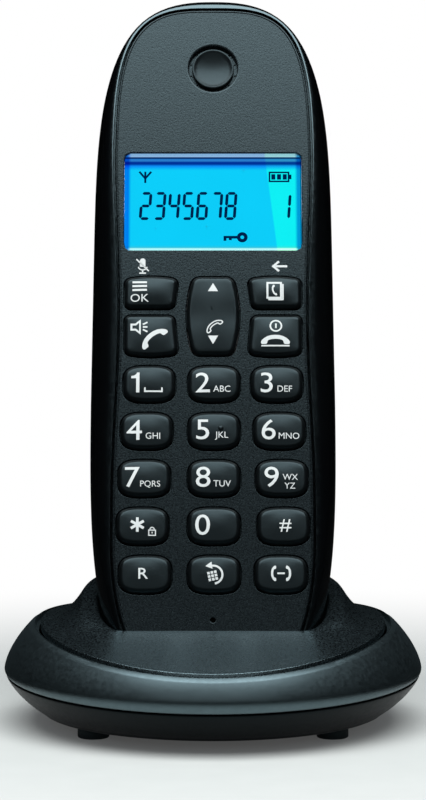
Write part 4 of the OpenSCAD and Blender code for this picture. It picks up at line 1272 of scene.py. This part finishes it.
leaves = []
wide, thick = inner["leaf"]
leafLine = [(27.5, 6.5), (27.5, 12.6), (27.46, 13.2), (27.3, 13.7), (25.75, 16.5), (25.53, 17.0),
            (25.47, 17.5), (25.53, 18.0), (25.75, 18.4), (27.1, 20.1), (27.5, 20.6)]
facing = outwards(leafLine + leafLine[-2:0:-1])[:len(leafLine)]
facing[0], facing[-1] = facing[1], facing[-2]
outline = [(n + q[0] * thick / 2, s + q[1] * thick / 2) for (n, s), q in zip(leafLine, facing)]
outline += [(n - q[0] * thick / 2, s - q[1] * thick / 2) for (n, s), q in zip(leafLine, facing)][::-1]
for x in (-contactX, contactX):
    leaves.append(loft([[inHandset(x + dx, n, s) for n, s in outline] for dx in (-wide / 2, wide / 2)],
                       True, True))
    leaves.append(prism(inBase, roundedBox(wide, inner["leafFoot"][1], 0.6, (x, inner["leafFoot"][0]), 40),
                        [(0.06, 7.4), (0, 7.46), (0, 7.72), (0.08, 7.8)], "z"))
setPiece(makeObject("charging_leaves", joined(*leaves), goldPlated), "base", "contact_metal", "base_contacts")

mouthWide, mouthTall, mouthLevel = inner["mouth"]
wireLine = [(-11.4, 15.3), (-3.0, 15.3), (-2.2, 15.2), (-2.0, 14.9), (-2.4, 14.6), (-9.5, 12.2)]
half, depth = inner["socketHalf"], inner["socketDepth"]
for node, side, count in (("line_socket", -1, 4), ("power_socket", 1, 2)):
    x, back = side * socketX, (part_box(node)[1].y - baseY) / mm
    body = makeObject(node + "_body", prism(inBase, roundedBox(2 * half, 9.6, 0.5, (x, mouthLevel), 64), [
        (0.3, back - depth), (0, back - depth + 0.3), (0, back - 0.25), (0.25, back)]), absInside)
    combine(body, prism(inBase, roundedBox(mouthWide, mouthTall, 0.4, (x, mouthLevel)), [
        (0, back - 11.4), (0, back - 0.3), (-0.3, back), (-0.3, back + 1)]), smooth=30)
    latch = boxMesh(inBase, (x - 1.9, back - 6, 8.0), (x + 1.9, back + 1, 9.2))  # for the plug's latch
    combine(body, latch, smooth=30)
    setPiece(body, "base", "socket_moulding", node)
    wires = []
    for i in range(count):
        wireX = x + (i - (count - 1) / 2) * inner["wirePitch"]
        wires.append(tubeMesh([inBase(wireX, back + y, z) for y, z in wireLine], 0.22))
    setPiece(makeObject(node + "_wires", joined(*wires), goldPlated), "base", "contact_metal")

tip = (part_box("paging_button")[1].y - baseY) / mm
armWide, armTall, armLevel = inner["pageArm"]
capLine = [(2.1, tip - 5), (2.4, tip - 4.9), (2.4, tip - 0.5), (2.33, tip - 0.2), (2.15, tip - 0.04),
           (1.95, tip), (1.5, tip - 0.1), (0.8, tip - 0.18), (0.2, tip - 0.2)]
cap = turned(inBase, (0, b["pageLevel"]), capLine, count=64)
arm = prism(inBase, roundedBox(armWide, armTall, 0.5, (0, armLevel), 56),
            [(0.15, tip - 6.2), (0, tip - 6.05), (0, tip - 5.05), (0.15, tip - 4.9)])
setPiece(makeObject("paging_cap", joined(cap, arm), absSatin), "paging_button", "button", "paging_button")

footLine = [(1.9, 0.3), (2.4, 0.05), (2.6, 0), (2.95, 0), (3.12, 0.1), (3.2, 0.35), (3.2, 2.1), (3.1, 2.2)]
feet = [turned(inBase, place, footLine, "z", 56) for place in ringPlaces(*b["feet"])]
setPiece(makeObject("feet_rubber", joined(*feet), rubberBlack), "base", "rubber", "base_feet")

felt = turned(inHandset, (0, cover["mic"][0]), [(0.68, 2.12), (0.76, 2.2), (0.76, 2.38)], count=24)
setPiece(makeObject("microphone_felt", felt, foamBlack), "handset", "foam")

# acrylic light guide, its back frosted so that it glows evenly
acrylicFrosted = plastic("acrylic_frosted", "#b9cdd0", "#c8dadd", 0.5, 0.4, 0.01, sheen=(1, 1, 1, 1))
# speaker cans: pressed steel, dulled by its zinc coat
steelZinc = metal("steel_zinc_dull", "#8f9293", "#75787a", 0.42, 1.2)
# the microphone's can is bare drawn aluminium
aluminiumDrawn = metal("aluminium_drawn", "#c6c8c9", "#aeb1b2", 0.35, 0.25)
inside = {"display_backlight": acrylicFrosted, "display_frame": absWhite, "keypad_mat": siliconeGrey,
          "main_board": boardGreen, "base_board": boardGreen, "earpiece_speaker": steelZinc,
          "loudspeaker": steelZinc, "speaker_gasket": foamBlack, "microphone": aluminiumDrawn,
          "microphone_boot": rubberBlack, "battery_plates": steelPlated, "paging_switch": absInside}
for node, material in inside.items():
    frame["nodes"][node].data.materials.clear()
    frame["nodes"][node].data.materials.append(material)
print("small and inner pieces")

# Studio

studio = {"tent": 2.4, "tentSides": 60, "nearFloor": 0.053, "lift": 0.002, "table": 6,
          "room": (0.3, 0.32, 0.34, 1), "fade": (0.05, 0.2, 0.06), "lamps": [
              ("softbox_overhead", (0, -0.25, 0.6), 0.8, 0.54, 5.6, (0, -0.25, 0)),
              ("softbox_low", (0, -0.42, 0.14), 0.5, 0.08, 0.8, (0, 0, 0.03))]}


def areaLamp(name, place, wide, tall, radiance, aim):
    data = bpy.data.lights.new(name, "AREA")
    data.shape, data.size, data.size_y = "RECTANGLE", wide, tall
    data.energy = radiance * pi * wide * tall
    lamp = bpy.data.objects.new(name, data)
    lamp.location = place
    lamp.rotation_euler = (Vector(aim) - Vector(place)).to_track_quat("-Z", "Y").to_euler()
    lamp.visible_camera = False
    bpy.context.scene.collection.objects.link(lamp)
    return lamp


for name, place, wide, tall, radiance, aim in studio["lamps"]:
    areaLamp(name, place, wide, tall, radiance, aim)


def seenShare(material):  # 1 for what the eye sees, straight, in gloss or through glass
    rays = addNode(material, "LightPath")
    straight = addNode(material, "Math", {"operation": "MAXIMUM"},
                       {0: rays.outputs["Is Camera Ray"], 1: rays.outputs["Is Glossy Ray"]})
    return addNode(material, "Math", {"operation": "MAXIMUM"},
                   {0: straight.outputs[0], 1: rays.outputs["Is Transmission Ray"]}).outputs[0]


world = bpy.data.worlds.new("studio")
world.use_nodes = True
world.node_tree.nodes.clear()
room = addNode(world, "Background", {"Color": studio["room"], "Strength": 1.0})
white = addNode(world, "Background", {"Color": (1, 1, 1, 1), "Strength": 1.0})
sky = addNode(world, "MixShader", {}, {0: seenShare(world), 1: room.outputs[0], 2: white.outputs[0]})
addNode(world, "OutputWorld", {}, {"Surface": sky.outputs[0]})
bpy.context.scene.world = world

# lacquered white table: pale, with a faint soft gloss; the part that the eye sees is lifted to white
table, tablePlace = startMaterial("lacquer_white_sprayed")
peel = addNode(table, "TexNoise", {"Scale": 1 / (8 * mm), "Detail": 2}, {"Vector": tablePlace})
tableBump = addNode(table, "Bump", {"Distance": 0.01 * mm}, {"Height": peel.outputs["Fac"]})
tableTone = addNode(table, "Mix", {"data_type": "RGBA", 6: hexColour("#c0c5c3"), 7: hexColour("#c6cbc9")},
                    {0: peel.outputs["Fac"]})
lit = addNode(table, "BsdfPrincipled", {"Roughness": 0.5, "Specular IOR Level": 0.2},
              {"Base Color": tableTone.outputs[2], "Normal": tableBump.outputs["Normal"]})
glow = addNode(table, "Emission", {"Color": (1, 1, 1, 1), "Strength": 1.0})
fadeStart, fadeEnd, fadeLeast = studio["fade"]
distance = addNode(table, "VectorMath", {"operation": "LENGTH"}, {0: tablePlace})
fade = addNode(table, "MapRange", {"interpolation_type": "SMOOTHSTEP", "From Min": fadeStart,
               "From Max": fadeEnd, "To Min": fadeLeast, "To Max": 1.0}, {"Value": distance.outputs["Value"]})
share = addNode(table, "Math", {"operation": "MULTIPLY"}, {0: seenShare(table), 1: fade.outputs["Result"]})
tableMix = addNode(table, "MixShader", {}, {0: share.outputs[0], 1: lit.outputs[0], 2: glow.outputs[0]})
addNode(table, "OutputMaterial", {}, {"Surface": tableMix.outputs[0]})
edge = studio["table"]
corners = [Vector((x, y, 0)) for x, y in block(-edge, -edge, edge, edge)]
floor = makeObject("floor", (corners, [(0, 1, 2, 3)]), table)

# black cloth round the studio: only the gloss of the object sees it; its threads are drawn coarse,
# 6 mm wide, as they only reach the eye as a faint unevenness
cloth, clothPlace = startMaterial("cotton_cloth_woven")
threads = addNode(cloth, "TexChecker", {"Scale": 1 / (6 * mm), "Color1": hexColour("#050505"),
                  "Color2": hexColour("#0b0b0b")}, {"Vector": clothPlace})
finishMaterial(cloth, {"Roughness": 0.9, "Specular IOR Level": 0.1}, {"Base Color": threads.outputs["Color"]})
tentTurns = [2 * pi * i / studio["tentSides"] for i in range(studio["tentSides"])]
liftUp = Vector((0, 0, studio["lift"]))
rings = [[Vector((sin(a), cos(a), 0)) * studio["nearFloor"] + liftUp for a in tentTurns]]
for k in range(13):
    e = radians(88 * k / 12)
    rings.append([Vector((sin(a) * cos(e), cos(a) * cos(e), sin(e) + studio["lift"]))
                  * studio["tent"] for a in tentTurns])
tent = makeObject("cloth_tent", loft(rings), cloth)
tent.visible_camera = tent.visible_diffuse = tent.visible_shadow = False

print("studio")
